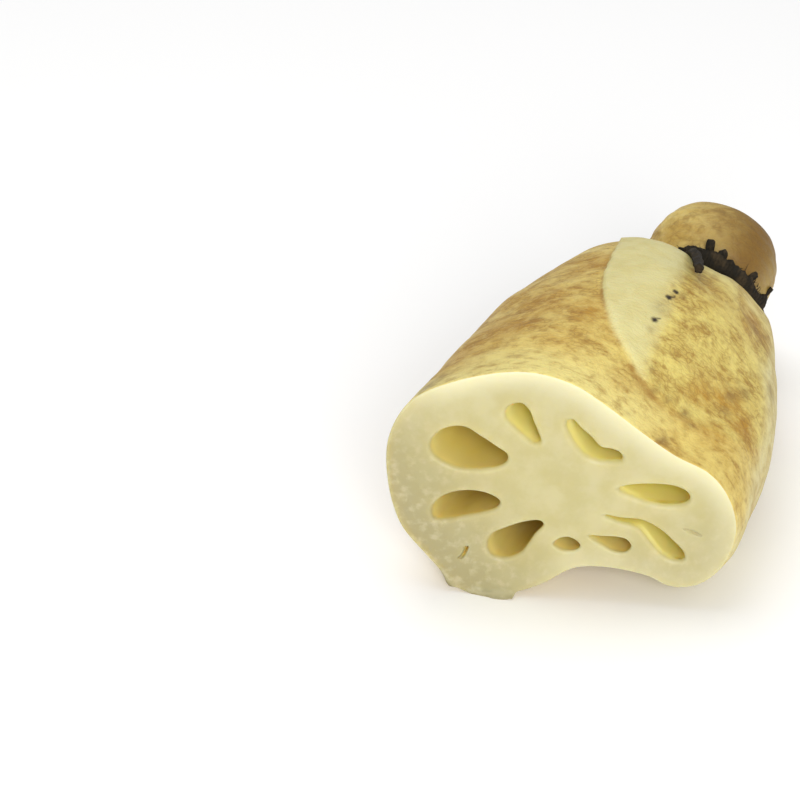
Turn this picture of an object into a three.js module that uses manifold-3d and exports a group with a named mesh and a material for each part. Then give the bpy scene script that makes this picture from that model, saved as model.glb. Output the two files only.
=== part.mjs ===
// Lotus root segment: one half of a segment cut across, with its air channels,
// the node at its far end and the start of the next segment. Millimetres, +Z up.
// The cut face looks along -Y and the root runs along +Y.
import * as THREE from 'three';
import Module from 'manifold-3d';

// Driving sizes
const FACE_WIDTH = 75;
const FACE_HALF_WIDTH = FACE_WIDTH / 2;
const FACE_HALF_TALL = 28.3;
const FACE_MIDDLE_HEIGHT = 29;
const NODE_AT = 100.6;
const NODE_RADIUS = 12.4;
const STUMP_RADIUS = 16.6;
const STUMP_CENTRE_PAST_NODE = 11;
const STUMP_END_PAST_CENTRE = 9.5;
const STUMP_MOUTHS = 7;
const STUMP_MOUTH_APART_DEGREES = 51;
const STUMP_MOUTH_FROM_AXIS = 6.2;
const CAP_RISE = 1.1;
const BAND_THICKNESS = 1.3;
const BAND_GAP = 0.45;
const STUB_FOOT_DEPTH = 0.6;
const STUB_BEND = 0.7;
const LONG_ROOT_RADIUS = 1.2;
const LONG_ROOT_FOOT_ALONG = 2.4;

// Fineness of the faceted forms
const AROUND = 60;
const CHANNEL_AROUND = 14;
const MOUTH_AROUND = 8;
const BAND_AROUND = 48;
const STUB_AROUND = 6;
const LONG_ROOT_AROUND = 8;

// Outline of the cut, as x across and height above the surface it lies on
const CUT_OUTLINE = [
  [1.9, 54.3], [8.3, 50.2], [15.8, 44.5], [23.3, 39.2], [31.0, 35.2], [35.4, 29.5], [37.5, 21.5],
  [35.1, 12.1], [30.0, 6.8], [24.6, 5.9], [18.9, 8.3], [9.5, 9.6], [3.2, 8.6], [-3.2, 4.0],
  [-9.0, 1.2], [-16.0, -0.2], [-23.0, 1.6], [-25.4, 5.0], [-29.1, 9.4], [-34.6, 16.8], [-37.5, 28.6],
  [-37.0, 39.2], [-32.2, 48.0], [-24.0, 52.9], [-13.0, 56.2], [-6.0, 56.5],
];

// The root's run: distance from the cut, middle of the section (x, height), half width, half
// height, how far the section has turned from the cut's outline to an oval, and its turn in degrees
const STATIONS = [
  { y: 0, x: 0.0, z: 29.0, wide: 37.5, tall: 28.3, round: 0.0, yaw: 0, pitch: 0 },
  { y: 10, x: 3.0, z: 28.5, wide: 36.9, tall: 28.7, round: 0.08, yaw: 6, pitch: 0 },
  { y: 22, x: 6.0, z: 28.4, wide: 36.1, tall: 29.2, round: 0.2, yaw: 10, pitch: 0 },
  { y: 38, x: 10.0, z: 28.1, wide: 35.5, tall: 29.4, round: 0.4, yaw: 13, pitch: 0 },
  { y: 56, x: 14.2, z: 27.8, wide: 33.0, tall: 28.7, round: 0.65, yaw: 15, pitch: 2 },
  { y: 72, x: 17.5, z: 27.3, wide: 29.0, tall: 27.2, round: 0.85, yaw: 15, pitch: 6 },
  { y: 83, x: 19.0, z: 26.2, wide: 27.2, tall: 23.4, round: 0.95, yaw: 16, pitch: 11 },
  { y: 91, x: 21.3, z: 25.4, wide: 24.0, tall: 19.2, round: 1.0, yaw: 17, pitch: 16 },
  { y: 97, x: 23.8, z: 25.1, wide: 17.5, tall: 14.9, round: 1.0, yaw: 19, pitch: 22 },
  { y: NODE_AT, x: 26.0, z: 24.7, wide: NODE_RADIUS, tall: NODE_RADIUS, round: 1.0, yaw: 20, pitch: 25 },
];

// Where the skin's rings lie: distances from the cut, then along the stump past the node
const SKIN_RINGS = [0, 2, 5, 9, 13, 17, 21, 25, 30, 35, 40, 45, 50, 55, 60, 65, 70, 74, 78, 82, 85.5, 88.5,
  91.5, 94, 96.5, 98.6, NODE_AT];
const STUMP_RINGS = [1.2, 2.8, 4.8, 7.2, 9.8, 12.6, 15.2, 17.4, 19.2];

// The lower half of the oval is squarer than a circle, and the right belly sags below it: how
// far, the distances over which the sag comes and goes, and its angle and spread in radians
const ROUND_POWER = 2;
const SQUARER_POWER = 2.5;
const BELLY = { sag: 5.6, comes: [8, 34], goes: [58, 82], angle: -0.82, spread: 0.42 };

// Air channels as they show in the cut: outline points and how deep each one runs
const CHANNELS = [
  { deep: 80, outline: [[-28.2, 37.3], [-26.7, 40.2], [-23.9, 41.9], [-20.8, 42.1], [-17.6, 40.2],
    [-14.3, 38.0], [-11.7, 36.0], [-11.7, 34.5], [-13.2, 33.1], [-17.4, 32.0], [-21.7, 31.9], [-24.9, 32.9],
    [-27.5, 34.9]] },
  { deep: 70, outline: [[-12.2, 47.0], [-11.0, 48.3], [-9.0, 48.7], [-7.4, 47.1], [-6.4, 44.5], [-5.3, 41.8],
    [-4.8, 39.8], [-6.1, 39.4], [-8.4, 41.3], [-10.7, 43.4], [-12.2, 45.3]] },
  { deep: 68, outline: [[0.6, 44.9], [1.6, 45.7], [3.4, 43.9], [5.6, 41.9], [8.0, 39.4], [10.3, 39.1],
    [12.0, 38.3], [12.5, 36.8], [10.4, 36.4], [7.9, 36.4], [5.3, 37.2], [3.4, 39.0], [1.6, 41.8]] },
  { deep: 72, outline: [[12.2, 29.6], [14.5, 30.6], [19.7, 31.3], [23.9, 31.1], [26.5, 29.9], [27.2, 28.4],
    [26.3, 27.3], [22.7, 26.5], [18.9, 26.9], [15.7, 27.9]] },
  { deep: 78, outline: [[-27.6, 21.5], [-25.9, 24.0], [-22.7, 25.8], [-18.4, 26.4], [-15.1, 25.7],
    [-13.0, 24.2], [-13.6, 22.6], [-16.1, 21.3], [-20.4, 19.9], [-24.3, 18.7], [-27.2, 18.7]] },
  { deep: 72, outline: [[-15.5, 13.0], [-14.5, 15.7], [-11.7, 17.5], [-7.4, 19.5], [-4.2, 20.0], [-3.5, 19.1],
    [-5.2, 16.6], [-6.6, 13.9], [-8.3, 11.4], [-11.5, 9.8], [-14.4, 10.3]] },
  { deep: 48, outline: [[-1.2, 14.4], [-0.2, 15.8], [1.9, 16.5], [3.9, 15.6], [4.6, 14.4], [3.6, 13.3],
    [0.8, 13.0]] },
  { deep: 52, outline: [[6.2, 17.4], [8.8, 17.4], [12.6, 17.5], [14.6, 16.9], [15.5, 15.2], [14.3, 13.8],
    [11.7, 13.8], [9.3, 15.1]] },
  { deep: 60, outline: [[9.2, 22.8], [12.8, 22.3], [17.1, 22.2], [19.7, 21.2], [22.1, 19.6], [24.3, 17.5],
    [26.6, 14.9], [27.0, 13.1], [24.9, 12.7], [22.4, 13.7], [19.9, 16.3], [18.3, 18.5], [16.5, 20.4],
    [12.9, 21.3]] },
  { deep: 11, outline: [[-20.9, 10.4], [-20.5, 11.9], [-19.6, 12.2], [-20.0, 10.6], [-21.0, 8.9],
    [-21.8, 9.0]] },
];

// How a channel narrows: share of its depth against share of its size at the cut
const CHANNEL_NARROWING = [
  [-0.03, 1], [0.0, 1], [0.12, 0.97], [0.3, 0.9], [0.5, 0.8], [0.7, 0.66], [0.86, 0.48], [0.96, 0.3],
  [1.0, 0.12],
];

// Edge of the raised smooth cap: angle round the root in degrees against distance from the cut
const CAP_EDGE = [
  [-25, 92], [-8, 46], [8, 22], [25, 16], [45, 13], [62, 15.5], [80, 21], [94, 31], [103, 45], [107, 62],
  [112, 78], [125, 92],
];

// The shoulder's dip towards the node: angle round the root against the depth of the dip
const DIP = [[15, 0], [33, 1.1], [50, 1.3], [60, 2.3], [70, 2.6], [78, 1.5], [90, 0.3], [100, 0]];

// How far the black sheath reaches along the stump, against the turn round it
const BAND_REACH = [
  [-180, 2.6], [-140, 3.0], [-100, 2.8], [-60, 3.2], [-35, 3.0], [-22, 4.6], [-10, 6.6], [4, 5.2], [20, 5.2],
  [45, 4.5], [66, 4.5], [82, 4.4], [97, 3.9], [106, 1.8], [130, 1.6], [150, 1.9], [180, 2.6],
];

// Root stubs standing in the sheath: turn round the node, place along it, the way they point
// (outward, along the stump, sideways), length and thickness
const STUBS = [
  { turn: 100, along: 3.0, out: 0.8, fore: -0.5, side: 0.1, long: 3.6, thick: 1.2 },
  { turn: 75, along: 4.2, out: 0.76, fore: 0.42, side: -0.23, long: 3.6, thick: 1.2 },
  { turn: 60, along: 4.0, out: 0.7, fore: 0.6, side: -0.3, long: 2.0, thick: 1.2 },
  { turn: 27, along: 4.4, out: 0.6, fore: 0.5, side: 0.0, long: 2.6, thick: 1.1 },
  { turn: 48, along: 3.2, out: 0.7, fore: 0.3, side: -0.5, long: 2.4, thick: 1.2 },
  { turn: -8, along: 5.6, out: 0.64, fore: 0.7, side: -0.3, long: 3.6, thick: 0.8 },
  { turn: -12, along: 5.4, out: 0.75, fore: -0.66, side: 0.23, long: 3.2, thick: 0.9 },
  { turn: -48, along: 2.6, out: 0.9, fore: 0.4, side: 0.3, long: 5.0, thick: 1.2 },
  { turn: -85, along: 2.4, out: 0.9, fore: -0.2, side: -0.4, long: 4.2, thick: 1.2 },
  { turn: -125, along: 2.6, out: 0.9, fore: 0.3, side: 0.4, long: 5.2, thick: 1.2 },
  { turn: -165, along: 2.4, out: 0.9, fore: 0.2, side: -0.3, long: 4.8, thick: 1.2 },
  { turn: 150, along: 1.8, out: 0.8, fore: 0.5, side: 0.3, long: 4.4, thick: 1.2 },
];

// The one longer root, which lies forward over the shoulder: distance from the cut against the
// angle round the root
const LONG_ROOT = [[99, 85], [96, 82], [90, 79], [83, 76], [76, 73], [69, 70.3], [59, 67.8]];

const RAD = Math.PI / 180;
const mix = (a, b, t) => a + (b - a) * t;
const smooth = (low, high, v) => {
  const t = Math.min(Math.max((v - low) / (high - low), 0), 1);
  return t * t * (3 - 2 * t);
};

// Smooth interpolation through table values that never overshoots between two of them
function through(xs, ys, x) {
  const last = xs.length - 1;
  const slopes = [];
  for (let i = 0; i < last; i += 1) {
    slopes.push((ys[i + 1] - ys[i]) / (xs[i + 1] - xs[i]));
  }
  const at = xs.findIndex((v) => v >= x);
  const i = Math.max((at < 0 ? last : at) - 1, 0);
  const tangent = (k) => {
    if (k === 0) return slopes[0];
    if (k === last) return slopes[last - 1];
    const product = slopes[k - 1] * slopes[k];
    return product > 0 ? (2 * product) / (slopes[k - 1] + slopes[k]) : 0;
  };
  const step = xs[i + 1] - xs[i];
  const t = Math.min(Math.max((x - xs[i]) / step, 0), 1);
  return (1 + 2 * t) * (1 - t) ** 2 * ys[i] + t * (1 - t) ** 2 * step * tangent(i)
    + t * t * (3 - 2 * t) * ys[i + 1] + t * t * (t - 1) * step * tangent(i + 1);
}

const STATION_Y = STATIONS.map((s) => s.y);
const station = (key, y) => through(STATION_Y, STATIONS.map((s) => s[key]), y);

// Points evenly spaced along a smooth closed curve through the given ones
function closedCurve(points, count) {
  const curve = new THREE.CatmullRomCurve3(points.map(([x, z]) => new THREE.Vector3(x, z, 0)), true);
  return curve.getSpacedPoints(count).slice(0, count).map((p) => [p.x, p.y]);
}

// Directions of the section at a distance: across, up, and along the root
function directions(yawDegrees, pitchDegrees) {
  const yaw = yawDegrees * RAD;
  const pitch = pitchDegrees * RAD;
  const along = new THREE.Vector3(
    Math.sin(yaw) * Math.cos(pitch), Math.cos(yaw) * Math.cos(pitch), Math.sin(pitch));
  const across = new THREE.Vector3(Math.cos(yaw), -Math.sin(yaw), 0);
  const up = new THREE.Vector3().crossVectors(across, along);
  return { across, up, along };
}

// A point of the section at distance y, given across and up from the section's middle
function placed(y, across, up) {
  const turn = directions(station('yaw', y), station('pitch', y));
  return new THREE.Vector3(station('x', y), y, station('z', y))
    .addScaledVector(turn.across, across).addScaledVector(turn.up, up);
}

// Height of the smooth cap over the rest of the skin at an angle and a distance
function capRise(angle, y) {
  const degrees = angle / RAD;
  if (degrees <= CAP_EDGE[0][0] || degrees >= CAP_EDGE[CAP_EDGE.length - 1][0]) return 0;
  const edge = through(CAP_EDGE.map((p) => p[0]), CAP_EDGE.map((p) => p[1]), degrees);
  return CAP_RISE * smooth(edge - 1.5, edge + 2.5, y) * smooth(0, 8, y) * (1 - smooth(88, 98, y));
}

// Depth of the shoulder's dip under the collar at an angle and a distance
function shoulderDip(angle, y) {
  const depth = through(DIP.map((p) => p[0]), DIP.map((p) => p[1]), angle / RAD);
  return depth * smooth(50, 74, y) * (1 - smooth(88, 98, y));
}

// A point of the root's skin for a point of the cut's outline: the outline turns into an oval,
// with a fuller right belly
function skinPoint([x, height], y, grow) {
  const wide = station('wide', y);
  const tall = station('tall', y);
  const round = station('round', y);
  const belly = BELLY.sag * smooth(...BELLY.comes, y) * (1 - smooth(...BELLY.goes, y));
  const z = height - FACE_MIDDLE_HEIGHT;
  const far = Math.hypot(x, z);
  const [cosine, sine] = [x / far, z / far];
  const power = sine < 0 ? SQUARER_POWER : ROUND_POWER;
  const squarer = (Math.abs(cosine) ** power + Math.abs(sine) ** power) ** (-1 / power);
  const angle = Math.atan2(sine, cosine);
  const sag = belly * Math.exp(-(((angle - BELLY.angle) / BELLY.spread) ** 2));
  const rise = capRise(angle, y) - shoulderDip(angle, y) + grow;
  const across = mix((x * wide) / FACE_HALF_WIDTH, wide * cosine * squarer, round) + rise * cosine;
  const up = mix((z * tall) / FACE_HALF_TALL, tall * sine * squarer, round) + rise * sine - sag;
  const point = placed(y, across, up);
  point.z = Math.max(point.z, 0);
  return point;
}

// One ring of the root's skin
function skinRing(y, grow) {
  return closedCurve(CUT_OUTLINE, AROUND).map((corner) => skinPoint(corner, y, grow));
}

const NODE = STATIONS[STATIONS.length - 1];
const NODE_TURN = directions(NODE.yaw, NODE.pitch);
const NODE_MIDDLE = new THREE.Vector3(NODE.x, NODE.y, NODE.z);

// A point round the node: distance along the stump, angle round it and distance out from its axis
function roundNode(along, angle, out) {
  return NODE_MIDDLE.clone()
    .addScaledVector(NODE_TURN.along, along)
    .addScaledVector(NODE_TURN.across, out * Math.cos(angle))
    .addScaledVector(NODE_TURN.up, out * Math.sin(angle));
}

const stumpRadius = (along) => Math.sqrt(STUMP_RADIUS ** 2 - (along - STUMP_CENTRE_PAST_NODE) ** 2);

// One ring of the stump, its angles matched to those of the skin's rings
function stumpRing(along, radius) {
  return closedCurve(CUT_OUTLINE, AROUND).map(([x, height]) => {
    const angle = Math.atan2(height - FACE_MIDDLE_HEIGHT, x);
    return roundNode(along, angle, radius);
  });
}

const wasm = await Module();
wasm.setup();

// A closed solid from its corner points and triangles, turned so that its faces look outwards
function solidOf(vertices, faces) {
  const volume = faces.reduce((sum, [a, b, c]) => (
    sum + vertices[a].dot(vertices[b].clone().cross(vertices[c]))), 0);
  const outward = volume > 0 ? faces : faces.map(([a, b, c]) => [a, c, b]);
  return new wasm.Manifold(new wasm.Mesh({
    numProp: 3,
    vertProperties: new Float32Array(vertices.flatMap((p) => [p.x, p.y, p.z])),
    triVerts: new Uint32Array(outward.flat()),
  }));
}

// Triangles across one flat ring of a loft
function endFaces(ring, offset, flip) {
  const normal = new THREE.Vector3();
  const middle = ring.reduce((sum, p) => sum.add(p), new THREE.Vector3()).divideScalar(ring.length);
  ring.forEach((p, i) => {
    const next = ring[(i + 1) % ring.length];
    normal.add(p.clone().sub(middle).cross(next.clone().sub(middle)));
  });
  const turn = new THREE.Quaternion().setFromUnitVectors(normal.normalize(), new THREE.Vector3(0, 0, 1));
  const flat = ring.map((p) => {
    const q = p.clone().sub(middle).applyQuaternion(turn);
    return new THREE.Vector2(q.x, q.y);
  });
  return THREE.ShapeUtils.triangulateShape(flat, []).map(([a, b, c]) => (
    flip ? [offset + a, offset + c, offset + b] : [offset + a, offset + b, offset + c]));
}

// A closed solid through rings of equal count, with flat ends
function loft(rings) {
  const count = rings[0].length;
  const faces = [];
  for (let r = 0; r < rings.length - 1; r += 1) {
    for (let i = 0; i < count; i += 1) {
      const a = r * count + i;
      const b = r * count + ((i + 1) % count);
      faces.push([a, b, b + count], [a, b + count, a + count]);
    }
  }
  faces.push(...endFaces(rings[0], 0, true));
  faces.push(...endFaces(rings[rings.length - 1], (rings.length - 1) * count, false));
  return solidOf(rings.flat(), faces);
}

// The grown body before its channels: skin rings to the node, then the stump to its dried end
function solidRoot(grow) {
  const rings = SKIN_RINGS.map((y) => skinRing(y, grow));
  STUMP_RINGS.forEach((along) => {
    rings.push(stumpRing(along, stumpRadius(along) + grow));
  });
  const end = STUMP_CENTRE_PAST_NODE + STUMP_END_PAST_CENTRE;
  rings.push(stumpRing(end, stumpRadius(end) - 0.7 + grow));
  rings.push(stumpRing(end + 0.7, 9));
  rings.push(stumpRing(end + 1.0, 4));
  return loft(rings);
}

// An air channel: its outline at the cut, carried along the root's run and narrowing to its end
function channel({ deep, outline }) {
  const points = closedCurve(outline, CHANNEL_AROUND);
  const middle = [0, 1].map((k) => points.reduce((sum, point) => sum + point[k] / points.length, 0));
  const rings = CHANNEL_NARROWING.map(([share, size]) => {
    const y = share * deep;
    const wide = station('wide', Math.max(y, 0)) / FACE_HALF_WIDTH;
    const tall = station('tall', Math.max(y, 0)) / FACE_HALF_TALL;
    return points.map(([x, z]) => {
      const across = (middle[0] + (x - middle[0]) * size) * wide;
      const up = (middle[1] + (z - middle[1]) * size - FACE_MIDDLE_HEIGHT) * tall;
      if (y < 0) return new THREE.Vector3(x, y, z);
      return placed(y, across, up);
    });
  });
  return loft(rings);
}

// Small mouths of the next segment's channels in the dried end of the stump
function stumpMouth(index) {
  const angle = index * STUMP_MOUTH_APART_DEGREES * RAD;
  const end = STUMP_CENTRE_PAST_NODE + STUMP_END_PAST_CENTRE;
  const rings = [[end - 2.2, 0.7], [end + 3, 1.15]].map(([along, radius]) => (
    Array.from({ length: MOUTH_AROUND }, (_, i) => {
      const turn = (i / MOUTH_AROUND) * 2 * Math.PI;
      const out = STUMP_MOUTH_FROM_AXIS + radius * Math.cos(turn);
      return roundNode(along, angle + (radius * Math.sin(turn)) / STUMP_MOUTH_FROM_AXIS, out);
    })));
  return loft(rings);
}

// The root: one grown piece with its channels opened
function lotusRoot() {
  let root = solidRoot(0);
  CHANNELS.forEach((shape) => { root = root.subtract(channel(shape)); });
  for (let index = 0; index < STUMP_MOUTHS; index += 1) {
    root = root.subtract(stumpMouth(index));
  }
  return root;
}

// The band of black dead sheath in the node: a ring of uneven reach
function sheathBand() {
  const rings = Array.from({ length: BAND_AROUND }, (_, i) => {
    const angle = (i / BAND_AROUND) * 2 * Math.PI - Math.PI;
    const reach = through(BAND_REACH.map((p) => p[0]), BAND_REACH.map((p) => p[1]), angle / RAD);
    const profile = [[-0.9, -3], [-0.9, 0.9], [reach * 0.5, BAND_THICKNESS], [reach, 0.9], [reach, -3]];
    return profile.map(([along, over]) => {
      const surface = stumpRadius(Math.max(along, 0));
      return roundNode(along, angle, surface + over);
    });
  });
  const size = rings[0].length;
  const faces = [];
  for (let r = 0; r < BAND_AROUND; r += 1) {
    for (let i = 0; i < size; i += 1) {
      const a = r * size + i;
      const b = r * size + ((i + 1) % size);
      const c = ((r + 1) % BAND_AROUND) * size + i;
      const d = ((r + 1) % BAND_AROUND) * size + ((i + 1) % size);
      faces.push([a, d, b], [a, c, d]);
    }
  }
  return solidOf(rings.flat(), faces);
}

// One tapered root stub with its foot sunk in the band
function rootStub({ turn, along, out, fore, side, long, thick }) {
  const angle = turn * RAD;
  const foot = roundNode(along, angle, stumpRadius(along) - STUB_FOOT_DEPTH);
  const outward = roundNode(0, angle, 1).sub(NODE_MIDDLE);
  const sideways = NODE_TURN.along.clone().cross(outward);
  const heading = outward.clone().multiplyScalar(out)
    .addScaledVector(NODE_TURN.along, fore).addScaledVector(sideways, side).normalize();
  const first = sideways.clone().cross(heading).normalize();
  const second = heading.clone().cross(first);
  const rings = [[0, 1], [0.55, 0.9], [1, 0.6]].map(([share, size]) => (
    Array.from({ length: STUB_AROUND }, (_, i) => {
      const around = (i / STUB_AROUND) * 2 * Math.PI;
      return foot.clone().addScaledVector(heading, share * (long + STUB_FOOT_DEPTH))
        .addScaledVector(outward, -STUB_BEND * share * share * (fore > 0 ? 1 : 0))
        .addScaledVector(first, thick * size * Math.cos(around))
        .addScaledVector(second, thick * size * Math.sin(around));
    })));
  return loft(rings);
}

// The longer root: a rod laid on the skin, its foot under the band
function longRoot() {
  const path = LONG_ROOT.map(([y, degrees]) => {
    const corner = [28 * Math.cos(degrees * RAD), FACE_MIDDLE_HEIGHT + 28 * Math.sin(degrees * RAD)];
    const middle = skinPoint(corner, y, BAND_GAP + LONG_ROOT_RADIUS * 0.75);
    return { middle, outward: middle.clone().sub(skinPoint(corner, y, 0)).normalize() };
  });
  const foot = roundNode(
    LONG_ROOT_FOOT_ALONG, LONG_ROOT[0][1] * RAD, stumpRadius(LONG_ROOT_FOOT_ALONG) + 0.5);
  path.unshift({ middle: foot, outward: path[0].outward });
  const rings = path.map(({ middle, outward }, i) => {
    const next = path[Math.min(i + 1, path.length - 1)].middle;
    const heading = next.clone().sub(path[Math.max(i - 1, 0)].middle).normalize();
    const sideways = new THREE.Vector3().crossVectors(heading, outward).normalize();
    const raised = new THREE.Vector3().crossVectors(sideways, heading);
    return Array.from({ length: LONG_ROOT_AROUND }, (_, k) => {
      const around = (k / LONG_ROOT_AROUND) * 2 * Math.PI;
      return middle.clone().addScaledVector(sideways, LONG_ROOT_RADIUS * Math.cos(around))
        .addScaledVector(raised, LONG_ROOT_RADIUS * Math.sin(around));
    });
  });
  return loft(rings);
}

// The black collar: band, stubs and the longer root as one piece, clear of the root by the gap
function rootCollar() {
  let collar = sheathBand().add(longRoot());
  STUBS.forEach((stub) => { collar = collar.add(rootStub(stub)); });
  const clear = collar.subtract(solidRoot(BAND_GAP));
  const parts = clear.decompose();
  return parts.reduce((largest, piece) => (piece.volume() > largest.volume() ? piece : largest));
}

// A named mesh from a solid
function meshOf(solid, name, material) {
  const { vertProperties, triVerts } = solid.getMesh();
  const geometry = new THREE.BufferGeometry();
  geometry.setAttribute('position', new THREE.BufferAttribute(new Float32Array(vertProperties), 3));
  geometry.setIndex(Array.from(triVerts));
  geometry.computeVertexNormals();
  const mesh = new THREE.Mesh(geometry, material);
  mesh.name = name;
  return mesh;
}

const rootColour = new THREE.MeshStandardMaterial({ color: '#d9c27f', roughness: 0.6, metalness: 0 });
const sheathColour = new THREE.MeshStandardMaterial({ color: '#2b2019', roughness: 0.85, metalness: 0 });

const group = new THREE.Group();
group.name = 'lotus_root_segment';
group.add(meshOf(lotusRoot(), 'lotus_root', rootColour));
group.add(meshOf(rootCollar(), 'root_collar', sheathColour));

// The origin goes to the middle of the part's box, on the surface it lies on
const box = new THREE.Box3().setFromObject(group);
const middle = box.getCenter(new THREE.Vector3());
group.children.forEach((mesh) => mesh.geometry.translate(-middle.x, -middle.y, -box.min.z));

export default group;
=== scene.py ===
import math

import bpy
import bmesh
import numpy as np
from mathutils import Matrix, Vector
from mathutils.geometry import delaunay_2d_cdt


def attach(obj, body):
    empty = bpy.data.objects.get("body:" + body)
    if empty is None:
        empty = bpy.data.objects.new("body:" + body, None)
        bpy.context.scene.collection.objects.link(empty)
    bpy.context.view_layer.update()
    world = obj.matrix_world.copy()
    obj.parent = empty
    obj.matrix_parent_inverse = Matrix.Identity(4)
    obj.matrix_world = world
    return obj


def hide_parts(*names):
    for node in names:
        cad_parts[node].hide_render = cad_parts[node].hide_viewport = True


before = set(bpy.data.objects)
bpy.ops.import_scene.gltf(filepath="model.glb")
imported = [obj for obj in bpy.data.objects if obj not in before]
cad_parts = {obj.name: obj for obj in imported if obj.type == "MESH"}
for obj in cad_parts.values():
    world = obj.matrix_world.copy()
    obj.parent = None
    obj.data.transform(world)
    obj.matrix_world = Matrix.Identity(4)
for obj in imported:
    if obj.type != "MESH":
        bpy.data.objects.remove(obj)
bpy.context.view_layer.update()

scene = bpy.context.scene

# The view. The cut half lies on a white table under soft light, and the camera looks down on
# its cut face from a little to the right. Sizes are in metres.
VIEW_AZIMUTH = math.radians(8.0)
VIEW_ELEVATION = math.radians(30.0)
CAMERA_PLACE = (0.01643, -0.45888, 0.2790)
CAMERA_LENS_MM = 99.0
CAMERA_SENSOR_MM = 36.0
TABLE_HALF = 2.5
TABLE_WHITE = (0.97, 0.97, 0.97, 1.0)
LIT_PLACE = Vector((0.0, 0.0, 0.02))
ROOM_STRENGTH = 0.56

# Each lamp: place, size, power and colour
LAMPS = {
    "key": ((0.22, -1.2, 0.58), 0.6, 12.2, (1.0, 0.99, 0.97)),
    "top": ((-0.25, 0.2, 1.3), 1.0, 6.5, (1.0, 1.0, 1.0)),
}


def aimed(thing, place, direction):
    """The camera or lamp at its place, turned to look along the direction with its top up."""
    thing.location = place
    thing.rotation_mode = "QUATERNION"
    thing.rotation_quaternion = direction.to_track_quat("-Z", "Y")
    scene.collection.objects.link(thing)


def camera_from_the_front():
    """A camera at its place, looking back along the direction given by azimuth and elevation."""
    data = bpy.data.cameras.new("front_view")
    data.lens = CAMERA_LENS_MM
    data.sensor_width = CAMERA_SENSOR_MM
    data.clip_start = 0.01
    data.clip_end = 50.0
    back = Vector((
        math.sin(VIEW_AZIMUTH) * math.cos(VIEW_ELEVATION),
        -math.cos(VIEW_AZIMUTH) * math.cos(VIEW_ELEVATION),
        math.sin(VIEW_ELEVATION),
    ))
    scene.camera = bpy.data.objects.new("front_view", data)
    aimed(scene.camera, CAMERA_PLACE, -back)


def soft_light(name, place, size, power, colour):
    """A square lamp of the given size in metres, turned towards the root."""
    data = bpy.data.lights.new(name, "AREA")
    data.size = size
    data.energy = power
    data.color = colour
    aimed(bpy.data.objects.new(name, data), place, LIT_PLACE - Vector(place))


def new_material(name):
    """A material, its node tree and its Principled shader."""
    material = bpy.data.materials.new(name)
    material.use_nodes = True
    return material, material.node_tree, material.node_tree.nodes["Principled BSDF"]


def white_table():
    """A wide flat sheet at the height the root lies on."""
    corners = [(x * TABLE_HALF, y * TABLE_HALF, 0) for x, y in ((-1, -1), (1, -1), (1, 1), (-1, 1))]
    mesh = bpy.data.meshes.new("table")
    mesh.from_pydata(corners, [], [(0, 1, 2, 3)])
    table = bpy.data.objects.new("table", mesh)
    scene.collection.objects.link(table)
    material, _, shader = new_material("white_table")
    shader.inputs["Base Color"].default_value = TABLE_WHITE
    shader.inputs["Roughness"].default_value = 0.7
    mesh.materials.append(material)


camera_from_the_front()
white_table()
for name, lamp in LAMPS.items():
    soft_light(name, *lamp)
world = bpy.data.worlds.new("pale_room")
world.use_nodes = True
world.node_tree.nodes["Background"].inputs["Color"].default_value = (1.0, 1.0, 1.0, 1.0)
world.node_tree.nodes["Background"].inputs["Strength"].default_value = ROOM_STRENGTH
scene.world = world
scene.view_settings.view_transform = "Standard"

# The root. One grown rhizome: a thin tan skin over crisp pale flesh, cut straight across at the
# near end, with air channels running back from the cut, and the node and the start of the next
# segment at the far end. Sizes are in millimetres in the root's own measure: the cut lies in the
# plane y = 0, heights are above the table, and the part's box has its middle at BOX_MIDDLE.
BOX_MIDDLE = np.array([4.704, 62.412, 0.0])
FACE_HALF_WIDTH = 37.5
FACE_HALF_TALL = 28.3
FACE_MIDDLE_HEIGHT = 29.0
NODE_AT = 100.6
CAP_RISE = 0.9
RIM_ROUNDING = 0.4
POINTS_AROUND = 320

CUT_OUTLINE = np.array([
    (1.9, 54.3), (8.3, 50.2), (15.8, 44.5), (23.3, 39.2), (31.0, 35.2), (35.4, 29.5), (37.5, 21.5),
    (35.1, 12.1), (30.0, 6.8), (24.6, 5.9), (18.9, 8.3), (9.5, 9.6), (3.2, 8.6), (-3.2, 4.0),
    (-9.0, 1.2), (-16.0, -0.2), (-23.0, 1.6), (-25.4, 5.0), (-29.1, 9.4), (-34.6, 16.8), (-37.5, 28.6),
    (-37.0, 39.2), (-32.2, 48.0), (-24.0, 52.9), (-13.0, 56.2), (-6.0, 56.5),
])

# The root's run: distance from the cut, middle of the section across and up, half width and
# half height, share of the way from the cut's outline to an oval, and the section's turn
RUN_Y = np.array([0, 10, 22, 38, 56, 72, 83, 91, 97, NODE_AT])
RUN = {
    "x": np.array([0.0, 3.0, 6.0, 10.0, 14.2, 17.5, 19.0, 21.3, 23.8, 26.0]),
    "z": np.array([29.0, 28.5, 28.4, 28.1, 27.8, 27.3, 26.2, 25.4, 25.1, 24.7]),
    "wide": np.array([37.5, 36.9, 36.1, 35.5, 33.0, 29.0, 27.2, 24.0, 17.5, 12.4]),
    "tall": np.array([28.3, 28.7, 29.2, 29.4, 28.7, 27.2, 23.4, 19.2, 14.9, 12.4]),
    "round": np.array([0.0, 0.08, 0.2, 0.4, 0.65, 0.85, 0.95, 1.0, 1.0, 1.0]),
    "yaw": np.array([0.0, 6, 10, 13, 15, 15, 16, 17, 19, 20]),
    "pitch": np.array([0.0, 0, 0, 0, 2, 6, 11, 16, 22, 25]),
}

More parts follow.
